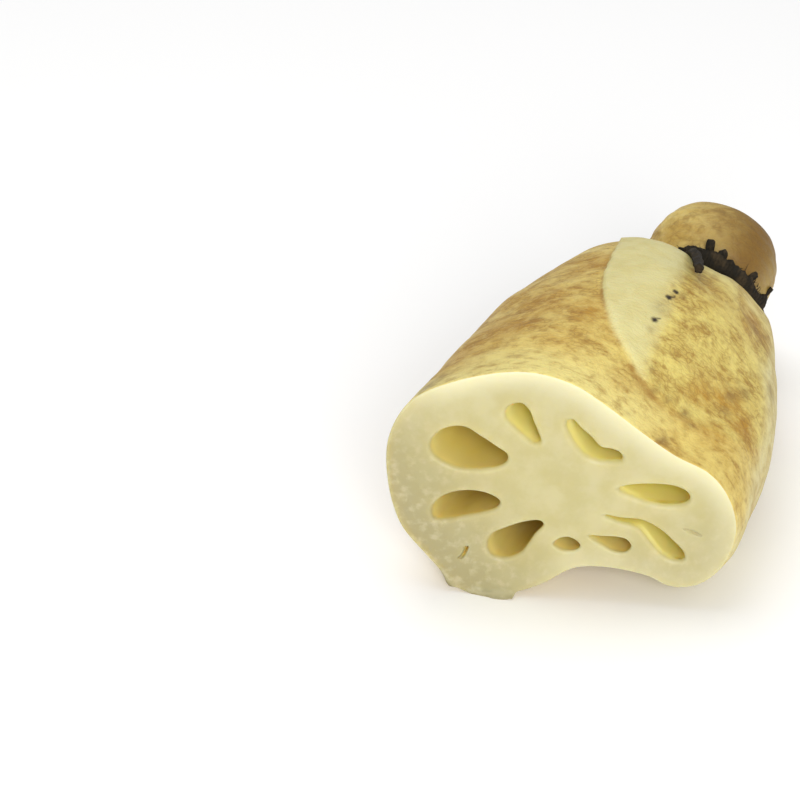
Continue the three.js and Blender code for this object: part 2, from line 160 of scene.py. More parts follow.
# The lower half of the oval is squarer than a circle, and the right belly sags below it: how
# far, the distances over which the sag comes and goes, and its angle and spread in radians
ROUND_POWER = 2.0
SQUARER_POWER = 2.5
BELLY_SAG = 5.6
BELLY_COMES = (8, 34)
BELLY_GOES = (58, 82)
BELLY_ANGLE = -0.82
BELLY_SPREAD = 0.42

# The shoulder dips towards the collar: depth of the dip against the angle round the root, and
# the distances over which the dip comes. Dip and cap both end where the neck narrows.
DIP_ANGLE = np.array([15, 33, 50, 60, 70, 78, 90, 100])
DIP_DEPTH = np.array([0, 1.1, 1.3, 2.3, 2.6, 1.5, 0.3, 0])
DIP_COMES = (50, 74)
NECK_NARROWS = (88, 98)

# Edge of the smooth pale cap near the node: angle round the root against distance from the cut
CAP_EDGE_ANGLE = np.array([-25, -8, 8, 25, 45, 62, 80, 94, 103, 107, 112, 125])
CAP_EDGE_Y = np.array([92, 46, 22, 16, 13, 15.5, 21, 31, 45, 62, 78, 92])

# Relief of the skin: height and size of the broad lumps, the small lumps and the wrinkles
BROAD_LUMPS = (0.45, 17.0)
SMALL_LUMPS = (0.16, 5.5)
WRINKLES = (0.07, 1.6)
LATTICE = 32


def smoothstep(low, high, value):
    """Zero up to low, one from high, and the cubic 3t^2 - 2t^3 between them."""
    t = np.clip((value - low) / (high - low), 0.0, 1.0)
    return t * t * (3 - 2 * t)


def through(xs, ys, x):
    """Monotone cubic through the table's points: Hermite pieces with harmonic mean slopes."""
    xs = np.asarray(xs, float)
    ys = np.asarray(ys, float)
    x = np.clip(x, xs[0], xs[-1])
    steps = np.diff(xs)
    slopes = np.diff(ys) / steps
    product = slopes[:-1] * slopes[1:]
    total = np.where(slopes[:-1] + slopes[1:] == 0, 1.0, slopes[:-1] + slopes[1:])
    tangents = np.concatenate([slopes[:1], np.where(product > 0, 2 * product / total, 0.0), slopes[-1:]])
    i = np.clip(np.searchsorted(xs, x) - 1, 0, len(steps) - 1)
    t = (x - xs[i]) / steps[i]
    return ((1 + 2 * t) * (1 - t) ** 2 * ys[i] + t * (1 - t) ** 2 * steps[i] * tangents[i]
            + t * t * (3 - 2 * t) * ys[i + 1] + t * t * (t - 1) * steps[i] * tangents[i + 1])


def closed_curve(points, count):
    """Even points on a closed centripetal Catmull-Rom curve: cubic pieces whose parameter
    steps are the square roots of the distances, resampled by arc length."""
    p1 = np.asarray(points, float)
    p0, p2, p3 = np.roll(p1, 1, 0), np.roll(p1, -1, 0), np.roll(p1, -2, 0)
    d0 = np.sqrt(np.linalg.norm(p1 - p0, axis=1))[:, None]
    d1 = np.sqrt(np.linalg.norm(p2 - p1, axis=1))[:, None]
    d2 = np.sqrt(np.linalg.norm(p3 - p2, axis=1))[:, None]
    leave = ((p1 - p0) / d0 - (p2 - p0) / (d0 + d1) + (p2 - p1) / d1) * d1
    arrive = ((p2 - p1) / d1 - (p3 - p1) / (d1 + d2) + (p3 - p2) / d2) * d1
    t = np.linspace(0, 1, 60, endpoint=False)[None, :, None]
    a, b, m, n = p1[:, None], p2[:, None], leave[:, None], arrive[:, None]
    curve = a + m * t + (3 * (b - a) - 2 * m - n) * t ** 2 + (2 * (a - b) + m + n) * t ** 3
    curve = curve.reshape(-1, 2)
    closed = np.vstack([curve, curve[:1]])
    length = np.concatenate([[0.0], np.cumsum(np.linalg.norm(np.diff(closed, axis=0), axis=1))])
    even = np.linspace(0, length[-1], count, endpoint=False)
    return np.column_stack([np.interp(even, length, closed[:, k]) for k in (0, 1)])


def outward(curve):
    """Unit normals of a clockwise closed curve: its chord between neighbours turned left."""
    chord = np.roll(curve, -1, 0) - np.roll(curve, 1, 0)
    normal = np.column_stack([-chord[:, 1], chord[:, 0]])
    return normal / np.linalg.norm(normal, axis=1, keepdims=True)


def directions(yaw_degrees, pitch_degrees):
    """Across, up and along vectors of a section turned by yaw about the vertical, then pitched."""
    yaw, pitch = np.radians(yaw_degrees), np.radians(pitch_degrees)
    along = np.stack([np.sin(yaw) * np.cos(pitch), np.cos(yaw) * np.cos(pitch), np.sin(pitch)], -1)
    across = np.stack([np.cos(yaw), -np.sin(yaw), np.zeros_like(yaw)], -1)
    return across, np.cross(across, along), along


def run_directions(y):
    """Across and up vectors of the root's section at distances y."""
    across_way, up_way, _ = directions(through(RUN_Y, RUN["yaw"], y), through(RUN_Y, RUN["pitch"], y))
    return across_way, up_way


def placed(y, across, up):
    """Points at distance y: the run's middle plus across and up along the turned section."""
    across_way, up_way = run_directions(y)
    middle = np.stack([through(RUN_Y, RUN["x"], y), y, through(RUN_Y, RUN["z"], y)], -1)
    return middle + across_way * across[..., None] + up_way * up[..., None]


def value_noise(points, size, seed):
    """Smooth random values from -1 to 1: a seeded lattice of the given size in millimetres,
    blended between its corners with the cubic step."""
    lattice = np.random.default_rng(seed).uniform(-1, 1, (LATTICE, LATTICE, LATTICE))
    scaled = points / size
    base = np.floor(scaled).astype(int)
    part = scaled - base
    part = part * part * (3 - 2 * part)
    total = 0.0
    for step in np.ndindex(2, 2, 2):
        weight = np.where(step, part, 1 - part).prod(-1)
        corner = (base + np.array(step)) % LATTICE
        total = total + weight * lattice[corner[..., 0], corner[..., 1], corner[..., 2]]
    return total


def past_cap_edge(angle, y):
    """How far y lies past the smooth cap's edge at that angle, far below zero off the cap."""
    degrees = np.degrees(angle)
    edge = through(CAP_EDGE_ANGLE, CAP_EDGE_Y, degrees)
    faces_cap = (degrees > CAP_EDGE_ANGLE[0]) & (degrees < CAP_EDGE_ANGLE[-1])
    return np.where(faces_cap, y - edge, -50.0)


def skin_points(outline, y, inset):
    """Skin at distances y: the cut's outline blending into an oval that is squarer below, plus
    the right belly's sag, the shoulder's dip and the cap's rise, never below the table. Also
    the angle round the root and the distance of each point."""
    flat = outline - outward(outline) * inset
    x = flat[:, 0][None, :]
    z = flat[:, 1][None, :] - FACE_MIDDLE_HEIGHT
    y = np.broadcast_to(np.asarray(y, float)[:, None], (len(y), len(flat)))
    far = np.hypot(x, z)
    cosine, sine = x / far, z / far
    angle = np.broadcast_to(np.arctan2(sine, cosine), y.shape)
    wide = through(RUN_Y, RUN["wide"], y)
    tall = through(RUN_Y, RUN["tall"], y)
    turned = through(RUN_Y, RUN["round"], y)
    power = np.where(sine < 0, SQUARER_POWER, ROUND_POWER)
    squarer = (np.abs(cosine) ** power + np.abs(sine) ** power) ** (-1 / power)
    belly = BELLY_SAG * smoothstep(*BELLY_COMES, y) * (1 - smoothstep(*BELLY_GOES, y))
    sag = belly * np.exp(-(((angle - BELLY_ANGLE) / BELLY_SPREAD) ** 2))
    past = past_cap_edge(angle, y)
    before_neck = 1 - smoothstep(*NECK_NARROWS, y)
    rise = CAP_RISE * smoothstep(-0.6, 2.2, past) * smoothstep(0, 8, y) * before_neck
    rise = rise * (0.12 + 0.88 * smoothstep(24, 62, np.degrees(angle)))
    dip = through(DIP_ANGLE, DIP_DEPTH, np.degrees(angle)) * smoothstep(*DIP_COMES, y) * before_neck
    rise = rise - dip
    oval_across = wide * cosine * squarer
    oval_up = tall * sine * squarer
    across = (1 - turned) * x * wide / FACE_HALF_WIDTH + turned * oval_across + rise * cosine
    up = (1 - turned) * z * tall / FACE_HALF_TALL + turned * oval_up + rise * sine - sag
    points = placed(y, across, up)
    lump = (BROAD_LUMPS[0] * value_noise(points, BROAD_LUMPS[1], 3)
            + SMALL_LUMPS[0] * value_noise(points, SMALL_LUMPS[1], 4))
    wrinkle = WRINKLES[0] * value_noise(points * np.array([0.35, 1.6, 0.35]), WRINKLES[1], 5)
    calm = smoothstep(0.5, 8, y) * (1 - 0.6 * smoothstep(0, 4, past))
    swell = lump * smoothstep(0.5, 12, y) + wrinkle * calm
    across_way, up_way = run_directions(y)
    points = points + (across_way * cosine[..., None] + up_way * sine[..., None]) * swell[..., None]
    points[..., 2] = np.maximum(points[..., 2], 0.0)
    return points, angle, y


# The start of the next segment: a ball past the node, cut off and dried at its far end, where
# the small mouths of its channels show. Lumps and grains: height and size. Growth rings: height
# and how fast they follow each other, in radians to the millimetre.
STUMP_RADIUS = 16.6
STUMP_CENTRE_PAST_NODE = 11.0
STUMP_END_PAST_CENTRE = 9.5
STUMP_END = STUMP_CENTRE_PAST_NODE + STUMP_END_PAST_CENTRE
STUMP_SIDE = np.arange(0.6, STUMP_END, 0.6)
STUMP_DOME = 0.9
STUMP_LUMPS = (0.3, 8.0)
STUMP_GRAINS = (0.1, 2.6)
STUMP_RINGS = (0.1, 2.1)
STUMP_MOUTHS = 7
STUMP_MOUTH_APART = math.radians(51.0)
STUMP_MOUTH_FROM_AXIS = 6.2
STUMP_MOUTH_DEPTH = 1.9
NODE_ACROSS, NODE_UP, NODE_ALONG = directions(RUN["yaw"][-1], RUN["pitch"][-1])
NODE_MIDDLE = np.array([RUN["x"][-1], NODE_AT, RUN["z"][-1]])


def round_node(along, angle, out):
    """Points round the stump's axis: distance along it, angle round it and distance out."""
    return (NODE_MIDDLE + NODE_ALONG * along[..., None]
            + NODE_ACROSS * (out * np.cos(angle))[..., None] + NODE_UP * (out * np.sin(angle))[..., None])


def stump_radius(along):
    """Radius of the ball-shaped start of the next segment at a distance past the node."""
    return np.sqrt(np.maximum(STUMP_RADIUS ** 2 - (along - STUMP_CENTRE_PAST_NODE) ** 2, 0.0))


def stump_points(outline):
    """The next segment's start: ball radius against distance, then its dried end as a low dome
    with the small mouths of its channels pressed in."""
    angle = np.arctan2(outline[:, 1] - FACE_MIDDLE_HEIGHT, outline[:, 0])
    edge = float(stump_radius(np.array(STUMP_END)))
    dome_out = np.concatenate([edge - np.array([0.15, 0.5, 1.0]), np.arange(edge - 1.5, 0.6, -0.45)])
    dome_along = STUMP_END + STUMP_DOME * (1 - ((dome_out / edge) ** 4))
    along = np.concatenate([STUMP_SIDE, dome_along])[:, None] + np.zeros((1, len(angle)))
    out = np.concatenate([stump_radius(STUMP_SIDE), dome_out])[:, None] + np.zeros((1, len(angle)))
    turn = np.broadcast_to(angle, along.shape)
    for k in range(STUMP_MOUTHS):
        mouth_x = STUMP_MOUTH_FROM_AXIS * math.cos(STUMP_MOUTH_APART * k)
        mouth_y = STUMP_MOUTH_FROM_AXIS * math.sin(STUMP_MOUTH_APART * k)
        gap = np.hypot(out * np.cos(turn) - mouth_x, out * np.sin(turn) - mouth_y)
        pressed = (1 - smoothstep(0.55, 1.3, gap)) * (along > STUMP_END - 0.2)
        along = along - STUMP_MOUTH_DEPTH * pressed
    points = round_node(along, turn, out)
    lump = (STUMP_LUMPS[0] * value_noise(points, STUMP_LUMPS[1], 7)
            + STUMP_GRAINS[0] * value_noise(points, STUMP_GRAINS[1], 8))
    ring = STUMP_RINGS[0] * np.sin(along * STUMP_RINGS[1]) * (along < STUMP_END - 1)
    swell = (lump * smoothstep(0, 3, along) + ring) * (out / STUMP_RADIUS)
    return round_node(along, turn, out + swell), turn, along


# Each air channel: how deep it runs, the rounding of its lip, how brown it is inside, outline.
# The last two are thin slits. All narrow alike: share of the depth against share of the size.
# The lip's spread is in shares of its rounding, and the roughness of a wall is height and size.
CHANNELS = [
    (80, 0.9, 0.55, [
        (-28.2, 37.3), (-26.7, 40.2), (-23.9, 41.9), (-20.8, 42.1), (-17.6, 40.2), (-14.3, 38.0),
        (-11.7, 36.0), (-11.7, 34.5), (-13.2, 33.1), (-17.4, 32.0), (-21.7, 31.9), (-24.9, 32.9),
        (-27.5, 34.9)]),
    (70, 1.1, 0.0, [
        (-12.2, 47.0), (-11.0, 48.3), (-9.0, 48.7), (-7.4, 47.1), (-6.4, 44.5), (-5.3, 41.8), (-4.8, 39.8),
        (-6.1, 39.4), (-8.4, 41.3), (-10.7, 43.4), (-12.2, 45.3)]),
    (68, 1.3, 0.0, [
        (0.6, 44.9), (1.6, 45.7), (3.4, 43.9), (5.6, 41.9), (8.0, 39.4), (10.3, 39.1), (12.0, 38.3),
        (12.5, 36.8), (10.4, 36.4), (7.9, 36.4), (5.3, 37.2), (3.4, 39.0), (1.6, 41.8)]),
    (72, 1.2, 0.0, [
        (12.2, 29.6), (14.5, 30.6), (19.7, 31.3), (23.9, 31.1), (26.5, 29.9), (27.2, 28.4), (26.3, 27.3),
        (22.7, 26.5), (18.9, 26.9), (15.7, 27.9)]),
    (78, 0.9, 0.7, [
        (-27.6, 21.5), (-25.9, 24.0), (-22.7, 25.8), (-18.4, 26.4), (-15.1, 25.7), (-13.0, 24.2),
        (-13.6, 22.6), (-16.1, 21.3), (-20.4, 19.9), (-24.3, 18.7), (-27.2, 18.7)]),
    (72, 0.9, 0.75, [
        (-15.5, 13.0), (-14.5, 15.7), (-11.7, 17.5), (-7.4, 19.5), (-4.2, 20.0), (-3.5, 19.1), (-5.2, 16.6),
        (-6.6, 13.9), (-8.3, 11.4), (-11.5, 9.8), (-14.4, 10.3)]),
    (48, 0.6, 0.6, [
        (-1.2, 14.4), (-0.2, 15.8), (1.9, 16.5), (3.9, 15.6), (4.6, 14.4), (3.6, 13.3), (0.8, 13.0)]),
    (52, 0.6, 0.6, [
        (6.2, 17.4), (8.8, 17.4), (12.6, 17.5), (14.6, 16.9), (15.5, 15.2), (14.3, 13.8), (11.7, 13.8),
        (9.3, 15.1)]),
    (60, 1.0, 0.0, [
        (9.2, 22.8), (12.8, 22.3), (17.1, 22.2), (19.7, 21.2), (22.1, 19.6), (24.3, 17.5), (26.6, 14.9),
        (27.0, 13.1), (24.9, 12.7), (22.4, 13.7), (19.9, 16.3), (18.3, 18.5), (16.5, 20.4), (12.9, 21.3)]),
    (2.2, 0.4, 0.0, [(-20.9, 10.4), (-20.5, 11.9), (-19.6, 12.2), (-20.0, 10.6), (-21.0, 8.9), (-21.8, 9.0)]),
    (0.7, 0.3, 0.0, [(26.3, 21.0), (27.8, 21.0), (29.3, 20.4), (30.4, 19.5), (29.2, 19.6), (27.6, 20.2)]),
]
NARROWS_AT = [0, 0.12, 0.3, 0.5, 0.7, 0.86, 0.96, 1.0]
NARROWS_TO = [1, 0.97, 0.9, 0.8, 0.66, 0.48, 0.3, 0.12]
LIP_SPREAD = np.array([1.0, 0.72, 0.46, 0.24, 0.08, 0.0])
CHANNEL_AROUND = 56
SMALL_CHANNEL_AROUND = 36
CHANNEL_RINGS = 26
CHANNEL_ROUGHNESS = (0.12, 2.4)


def channel_points(outline, deep, lip):
    """An air channel: quarter-circle lip rings spreading in front of its outline, then wall
    rings carried along the root's run, each shrunk towards the channel's middle."""
    count = CHANNEL_AROUND if len(outline) > 8 else SMALL_CHANNEL_AROUND
    curve = closed_curve(outline, count)
    middle = curve.mean(0)
    spread = lip * LIP_SPREAD
    lip_depth = lip - np.sqrt(lip ** 2 - (lip - spread) ** 2)
    flat = curve[None] + outward(curve)[None] * spread[:, None, None]
    depth = np.broadcast_to(lip_depth[:, None], flat.shape[:2])
    lips = np.stack([flat[..., 0], depth, flat[..., 1]], -1)
    y = lip + (deep - lip) * np.linspace(0.015, 1, CHANNEL_RINGS) ** 1.15
    size = through(NARROWS_AT, NARROWS_TO, y / deep)[:, None]
    y = y[:, None] + np.zeros((1, count))
    wide = through(RUN_Y, RUN["wide"], y) / FACE_HALF_WIDTH
    tall = through(RUN_Y, RUN["tall"], y) / FACE_HALF_TALL
    across = (middle[0] + (curve[:, 0] - middle[0]) * size) * wide
    up = (middle[1] + (curve[:, 1] - middle[1]) * size - FACE_MIDDLE_HEIGHT) * tall
    walls = placed(y, across, up)
    rough = CHANNEL_ROUGHNESS[0] * value_noise(walls * np.array([1, 0.4, 1]), CHANNEL_ROUGHNESS[1], 11)
    walls = walls + rough[..., None] * np.array([1, 0, 1])
    return np.concatenate([lips, walls])


# Old root scars, fainter stains and warmer brown patches on the skin: angle round the root,
# distance from the cut, size and strength
ROOT_SCARS = [
    (72.6, 33.4, 1.45, 1.0), (71.4, 34.9, 0.8, 0.9), (72.8, 43.9, 1.1, 0.95), (71.6, 47.6, 1.0, 0.9),
    (71.4, 45.3, 0.7, 0.8), (-60, 30.0, 1.6, 1.0), (175, 44.0, 1.5, 1.0), (-120, 61.0, 1.6, 1.0),
]
STAINS = [
    (71.5, 30.0, 1.3, 0.7), (73, 38.5, 2.6, 0.45), (68.5, 47.6, 1.1, 0.5), (146, 2.5, 3.0, 0.7),
    (151, 8.0, 2.2, 0.6), (53, 14.6, 1.5, 0.5), (44, 15.0, 1.4, 0.45), (33, 15.6, 2.0, 0.75),
    (27, 14.4, 1.6, 0.7), (56, 2.6, 1.5, 0.4), (32, 2.4, 1.6, 0.55), (22, 33, 2.2, 0.55), (19, 38, 1.8, 0.5),
    (20, 27, 2.0, 0.5), (60, 20, 1.5, 0.4), (27, 65, 2.8, 0.45), (8, 50, 2.0, 0.55),
]
WARM_PATCHES = [
    (99, 28, 8, 0.9), (119, 33, 9, 0.8), (127, 22, 9, 0.65), (142, 14, 8, 0.6), (110, 55, 9, 0.75),
    (23, 31, 5.5, 1.0), (33, 25, 5.0, 0.95), (12, 27, 5, 0.85), (20, 17, 4.5, 0.7), (34, 58, 5, 0.6),
    (60, 60, 6, 0.5), (-18, 22, 5, 0.7), (150, 40, 12, 0.7), (-150, 30, 11, 0.6), (-165, 62, 10, 0.7),
    (175, 20, 9, 0.5), (-40, 50, 8, 0.5), (104, 16, 6, 0.5), (50, 58, 6, 0.45), (68, 9, 4, 0.35),
    (29, 68, 6, 0.75), (40, 82, 5, 0.5),
]

# Where the cap's cream skin begins and where the paler strip low on the right ends: angle round
# the root against distance from the cut
CREAM_Y = [10, 30, 60, 90]
CREAM_ANGLE = [56, 70, 72, 70]
STRIP_Y = [4, 11, 19, 26, 32, 40, 46, 55, 63, 80]
STRIP_ANGLE = [-13, -9, -6, -3, 1, 6, 10.5, 15, 15, 10]

# The torn flap on the rim at the lower left: where across the cut it comes and goes, how far it
# is drawn forward and down, and its hanging tip's place, half width, and reach down and forward
FLAP_COMES = (-22, -12.5)
FLAP_GOES = (-9.6, -8.8)
FLAP_BELOW = 12
FLAP_FORWARD = 1.6
FLAP_DOWN = 0.6
TIP_AT = -24.2
TIP_HALF = 1.3
TIP_DOWN = 0.8
TIP_FORWARD = 0.2

# Distance between the rings of the skin
SKIN_SPACING = 0.68


def skin_zones(points, angles, distances, on_stump):
    """Shares for the skin's colours at each point, as two sets of four: the cap (half at its edge,
    ten millimetres each way), cream skin, root scars and the stump; then warmer brown patches,
    where the brown line and painted shade under the cap's edge show, the paler strip low on the right, and
    stains."""
    degrees = np.degrees(angles)
    reach = through(RUN_Y, RUN["wide"], distances)
    past = past_cap_edge(angles, distances)
    ragged = 3.0 * value_noise(points, 6.0, 21) + 1.2 * value_noise(points, 2.0, 22)

    def spotted(spots, frayed, sharp=False):
        """The greatest share that any of the spots gives: its strength at its middle, falling with
        the distance over the skin, by a smooth step where it is sharp and else by a bell curve."""
        most = np.zeros_like(reach)
        for turn, along, size, strength in spots:
            gap = np.hypot((degrees - turn) * math.pi / 180 * reach, distances - along) + frayed * ragged
            share = 1 - smoothstep(0, size * 1.8, gap) if sharp else np.exp(-((gap / size) ** 2))
            most = np.maximum(most, strength * share)
        return most

    cream = smoothstep(-5, 6, degrees + ragged - through(CREAM_Y, CREAM_ANGLE, distances))
    cream = cream * smoothstep(-1.0, 1.2, past + 0.25 * ragged)
    by_collar = smoothstep(66, 80, distances + ragged) * smoothstep(40, 62, degrees) * (past > 0)
    pale = np.maximum(cream, 0.8 * by_collar)
    strip = smoothstep(-8, 4, through(STRIP_Y, STRIP_ANGLE, distances) + ragged - degrees)
    strip = strip * smoothstep(-75, -40, degrees) * (1 - smoothstep(62, 80, distances))
    dark = spotted(ROOT_SCARS, 0.1, sharp=True)
    stained = spotted(STAINS, 0.25)
    warm = spotted(WARM_PATCHES, 0.0)
    warm = np.clip(warm + 0.12 * ragged * warm, 0, 1)
    # On the stump the warm share is one browner side, strongest at 38 degrees round the root and fading over
    # about 60 degrees either way.
    browner_stump = np.exp(-(((degrees - 38) / 60) ** 2))
    warm = np.where(on_stump > 0, browner_stump, warm)
    line = smoothstep(24, 50, degrees)
    cap = np.clip(past / 20 + 0.5, 0, 1)
    zones = np.stack([cap, pale * (1 - on_stump), dark * (1 - on_stump), on_stump], -1)
    tints = np.stack([warm, line, strip, np.clip(stained, 0, 1) * (1 - on_stump)], -1)
    return zones.reshape(-1, 4), tints.reshape(-1, 4)


def torn_flap(rim):
    """Draws the rim's points at the lower left forward and down into the flap that the knife left,
    and gives the share of the flap at each: one smooth step each way, and a narrow hanging tip."""
    x, low = rim[..., 0], rim[..., 2] < FLAP_BELOW
    forward = smoothstep(*FLAP_COMES, x) * (1 - smoothstep(*FLAP_GOES, x)) * low
    hanging = np.exp(-(((x - TIP_AT) / TIP_HALF) ** 2)) * low
    ragged = 1 + 0.25 * value_noise(rim, 1.7, 15)
    rim[..., 1] -= (FLAP_FORWARD * forward + TIP_FORWARD * hanging) * ragged
    down = (TIP_DOWN * hanging + FLAP_DOWN * forward) * ragged
    rim[..., 2] = np.maximum(rim[..., 2] - down, 0.12 * forward)
    return np.clip(np.maximum(forward, hanging) * 3, 0, 1)


def skin_rings(outline):
    """All rings from the cut's rounded rim to the stump's dried end: points, angles and distances
    from the cut, the number of the first ring on the stump, and the torn flap's shares."""
    step = RIM_ROUNDING / 4
    rim = [(0.0, RIM_ROUNDING), (step, step), (RIM_ROUNDING, 0.0)]
    rows = [skin_points(outline, [y], inset) for y, inset in rim]
    flap = torn_flap(rows[1][0])
    skin_y = np.concatenate([np.arange(0.9, 96, SKIN_SPACING), np.linspace(96.4, NODE_AT - 0.1, 10)])
    rows.append(skin_points(outline, skin_y, 0.0))
    stump, stump_angle, stump_along = stump_points(outline)
    rows.append((stump, stump_angle, NODE_AT + stump_along))
    rings, angles, distances = (np.concatenate([row[k] for row in rows]) for k in range(3))
    thin = np.zeros(angles.shape)
    thin[:len(rim)] = flap
    return rings, angles, distances, len(rim) + len(skin_y), thin


# The flat cut is a net of even points, kept a little away from its rim and the channels' mouths
CUT_SPACING = 1.25
CUT_ROW_SHARE = 0.866
SAW_MARKS = 0.05
RIM_CLEAR = 0.8
MOUTH_CLEAR = 0.75


def inside(points, loop):
    """Even-odd test: whether each point has an odd number of the loop's edges to its right."""
    a, b = loop, np.roll(loop, -1, 0)
    px, pz = points[:, 0][:, None], points[:, 1][:, None]
    crosses = (a[:, 1] > pz) != (b[:, 1] > pz)
    rise = np.where(b[:, 1] == a[:, 1], 1e-9, b[:, 1] - a[:, 1])
    at = a[:, 0] + (pz - a[:, 1]) * (b[:, 0] - a[:, 0]) / rise
    return (crosses & (px < at)).sum(1) % 2 == 1


def nearest(points, loop):
    """Distance of each point to the nearest corner of a loop."""
    return np.sqrt(((points[:, None] - loop[None]) ** 2).sum(-1)).min(1)


def in_the_flesh(points, rim, mouths):
    """Whether each point of the cut's plane lies within the rim and in no channel's mouth."""
    kept = inside(points, rim)
    for mouth in mouths:
        kept &= ~inside(points, mouth)
    return kept


def cut_net(rim, mouths, rim_numbers, mouth_numbers, first_free):
    """The flat cut: its even points, and its triangles as corner numbers of the root's mesh, from
    a Delaunay net that keeps to the rim and the mouths. The even points count from first_free."""
    xs, zs = np.meshgrid(np.arange(-38, 38, CUT_SPACING), np.arange(0, 58, CUT_SPACING * CUT_ROW_SHARE))
    xs = xs + (np.arange(xs.shape[0]) % 2)[:, None] * CUT_SPACING / 2
    even = np.column_stack([xs.ravel(), zs.ravel()])
    kept = in_the_flesh(even, rim, mouths) & (nearest(even, rim) > RIM_CLEAR)
    for mouth in mouths:
        kept &= nearest(even, mouth) > MOUTH_CLEAR
    even = even[kept]
    loops = [rim, *mouths]
    numbers = np.concatenate([rim_numbers, *mouth_numbers, first_free + np.arange(len(even))])
    edges = []
    start = 0
    for loop in loops:
        edges += [(start + i, start + (i + 1) % len(loop)) for i in range(len(loop))]
        start += len(loop)
    flat = [Vector(point) for point in np.concatenate([*loops, even]).tolist()]
    made = delaunay_2d_cdt(flat, edges, [], 0, 1e-7)
    triangles = np.array([face[:3] for face in made[2]])
    origin = np.array([first[0] for first in made[3]])
    centres = np.array([tuple(point) for point in made[0]])[triangles].mean(1)
    kept = in_the_flesh(centres, rim, mouths)
    return even, numbers[origin[triangles[kept]]]


def flesh_shades(points, rim_line):
    """Shares for the cut's colours: the whitish rim under the skin, shown as painted light only on the upper
    right and whiter higher up, fading over a few millimetres, and the greyer watery flesh at the lower left
    and, less, the lower right."""
    x, z = points[:, 0], points[:, 2]
    gap = nearest(points[:, [0, 2]], rim_line)
    # Painted light: the rim's whiteness is kept to the upper right and grows with height.
    painted_light_upper_right = smoothstep(-34, -6, x + 0.6 * (z - 30))
    rim = np.exp(-((gap / 3.4) ** 2)) * painted_light_upper_right * (0.45 + 0.55 * smoothstep(16, 34, z))
    lower_left = smoothstep(4, 44, -x - 0.75 * (z - 28))
    lower_right = 0.36 * smoothstep(6, 28, 0.6 * x - (z - 22))
    return np.column_stack([rim, np.maximum(lower_left, lower_right)])


# Numbers of the root's three materials, the depth at which a channel has its inmost colour, and
# how far in from the cut the flesh takes the cut's own shades
SKIN, FLESH, DRIED = 0, 1, 2
SHADED_DEPTH = 24.0
FACE_DEPTH = 3.0


def grid_faces(rows, columns, start):
    """Quads of a grid that closes round its columns, as corner numbers from start."""
    r, c = np.meshgrid(np.arange(rows - 1), np.arange(columns), indexing="ij")
    a = start + r * columns + c
    b = start + r * columns + (c + 1) % columns
    return np.stack([a, b, b + columns, a + columns], -1).reshape(-1, 4)


def fan_faces(rows, columns, start):
    """Triangles that close the last ring of such a grid to the one corner that follows it."""
    ring = start + (rows - 1) * columns + np.arange(columns)
    return np.column_stack([ring, np.roll(ring, -1), np.full(columns, start + rows * columns)])


def smooth_mesh(name, corners, faces):
    """A smooth mesh in metres round the box's middle, with every face turned outwards."""
    mesh = bpy.data.meshes.new(name)
    mesh.from_pydata(((corners - BOX_MIDDLE) / 1000).tolist(), [], faces)
    work = bmesh.new()
    work.from_mesh(mesh)
    bmesh.ops.recalc_face_normals(work, faces=work.faces)
    work.to_mesh(mesh)
    work.free()
    mesh.shade_smooth()
    return mesh


def with_shares(mesh, label, values):
    """Keeps four shares for each point of the mesh under the label, zero past the last given."""
    shares = np.zeros((len(mesh.vertices), 4), np.float32)
    shares[:len(values)] = values
    layer = mesh.attributes.new(label, "FLOAT_COLOR", "POINT")
    layer.data.foreach_set("color", shares.ravel())


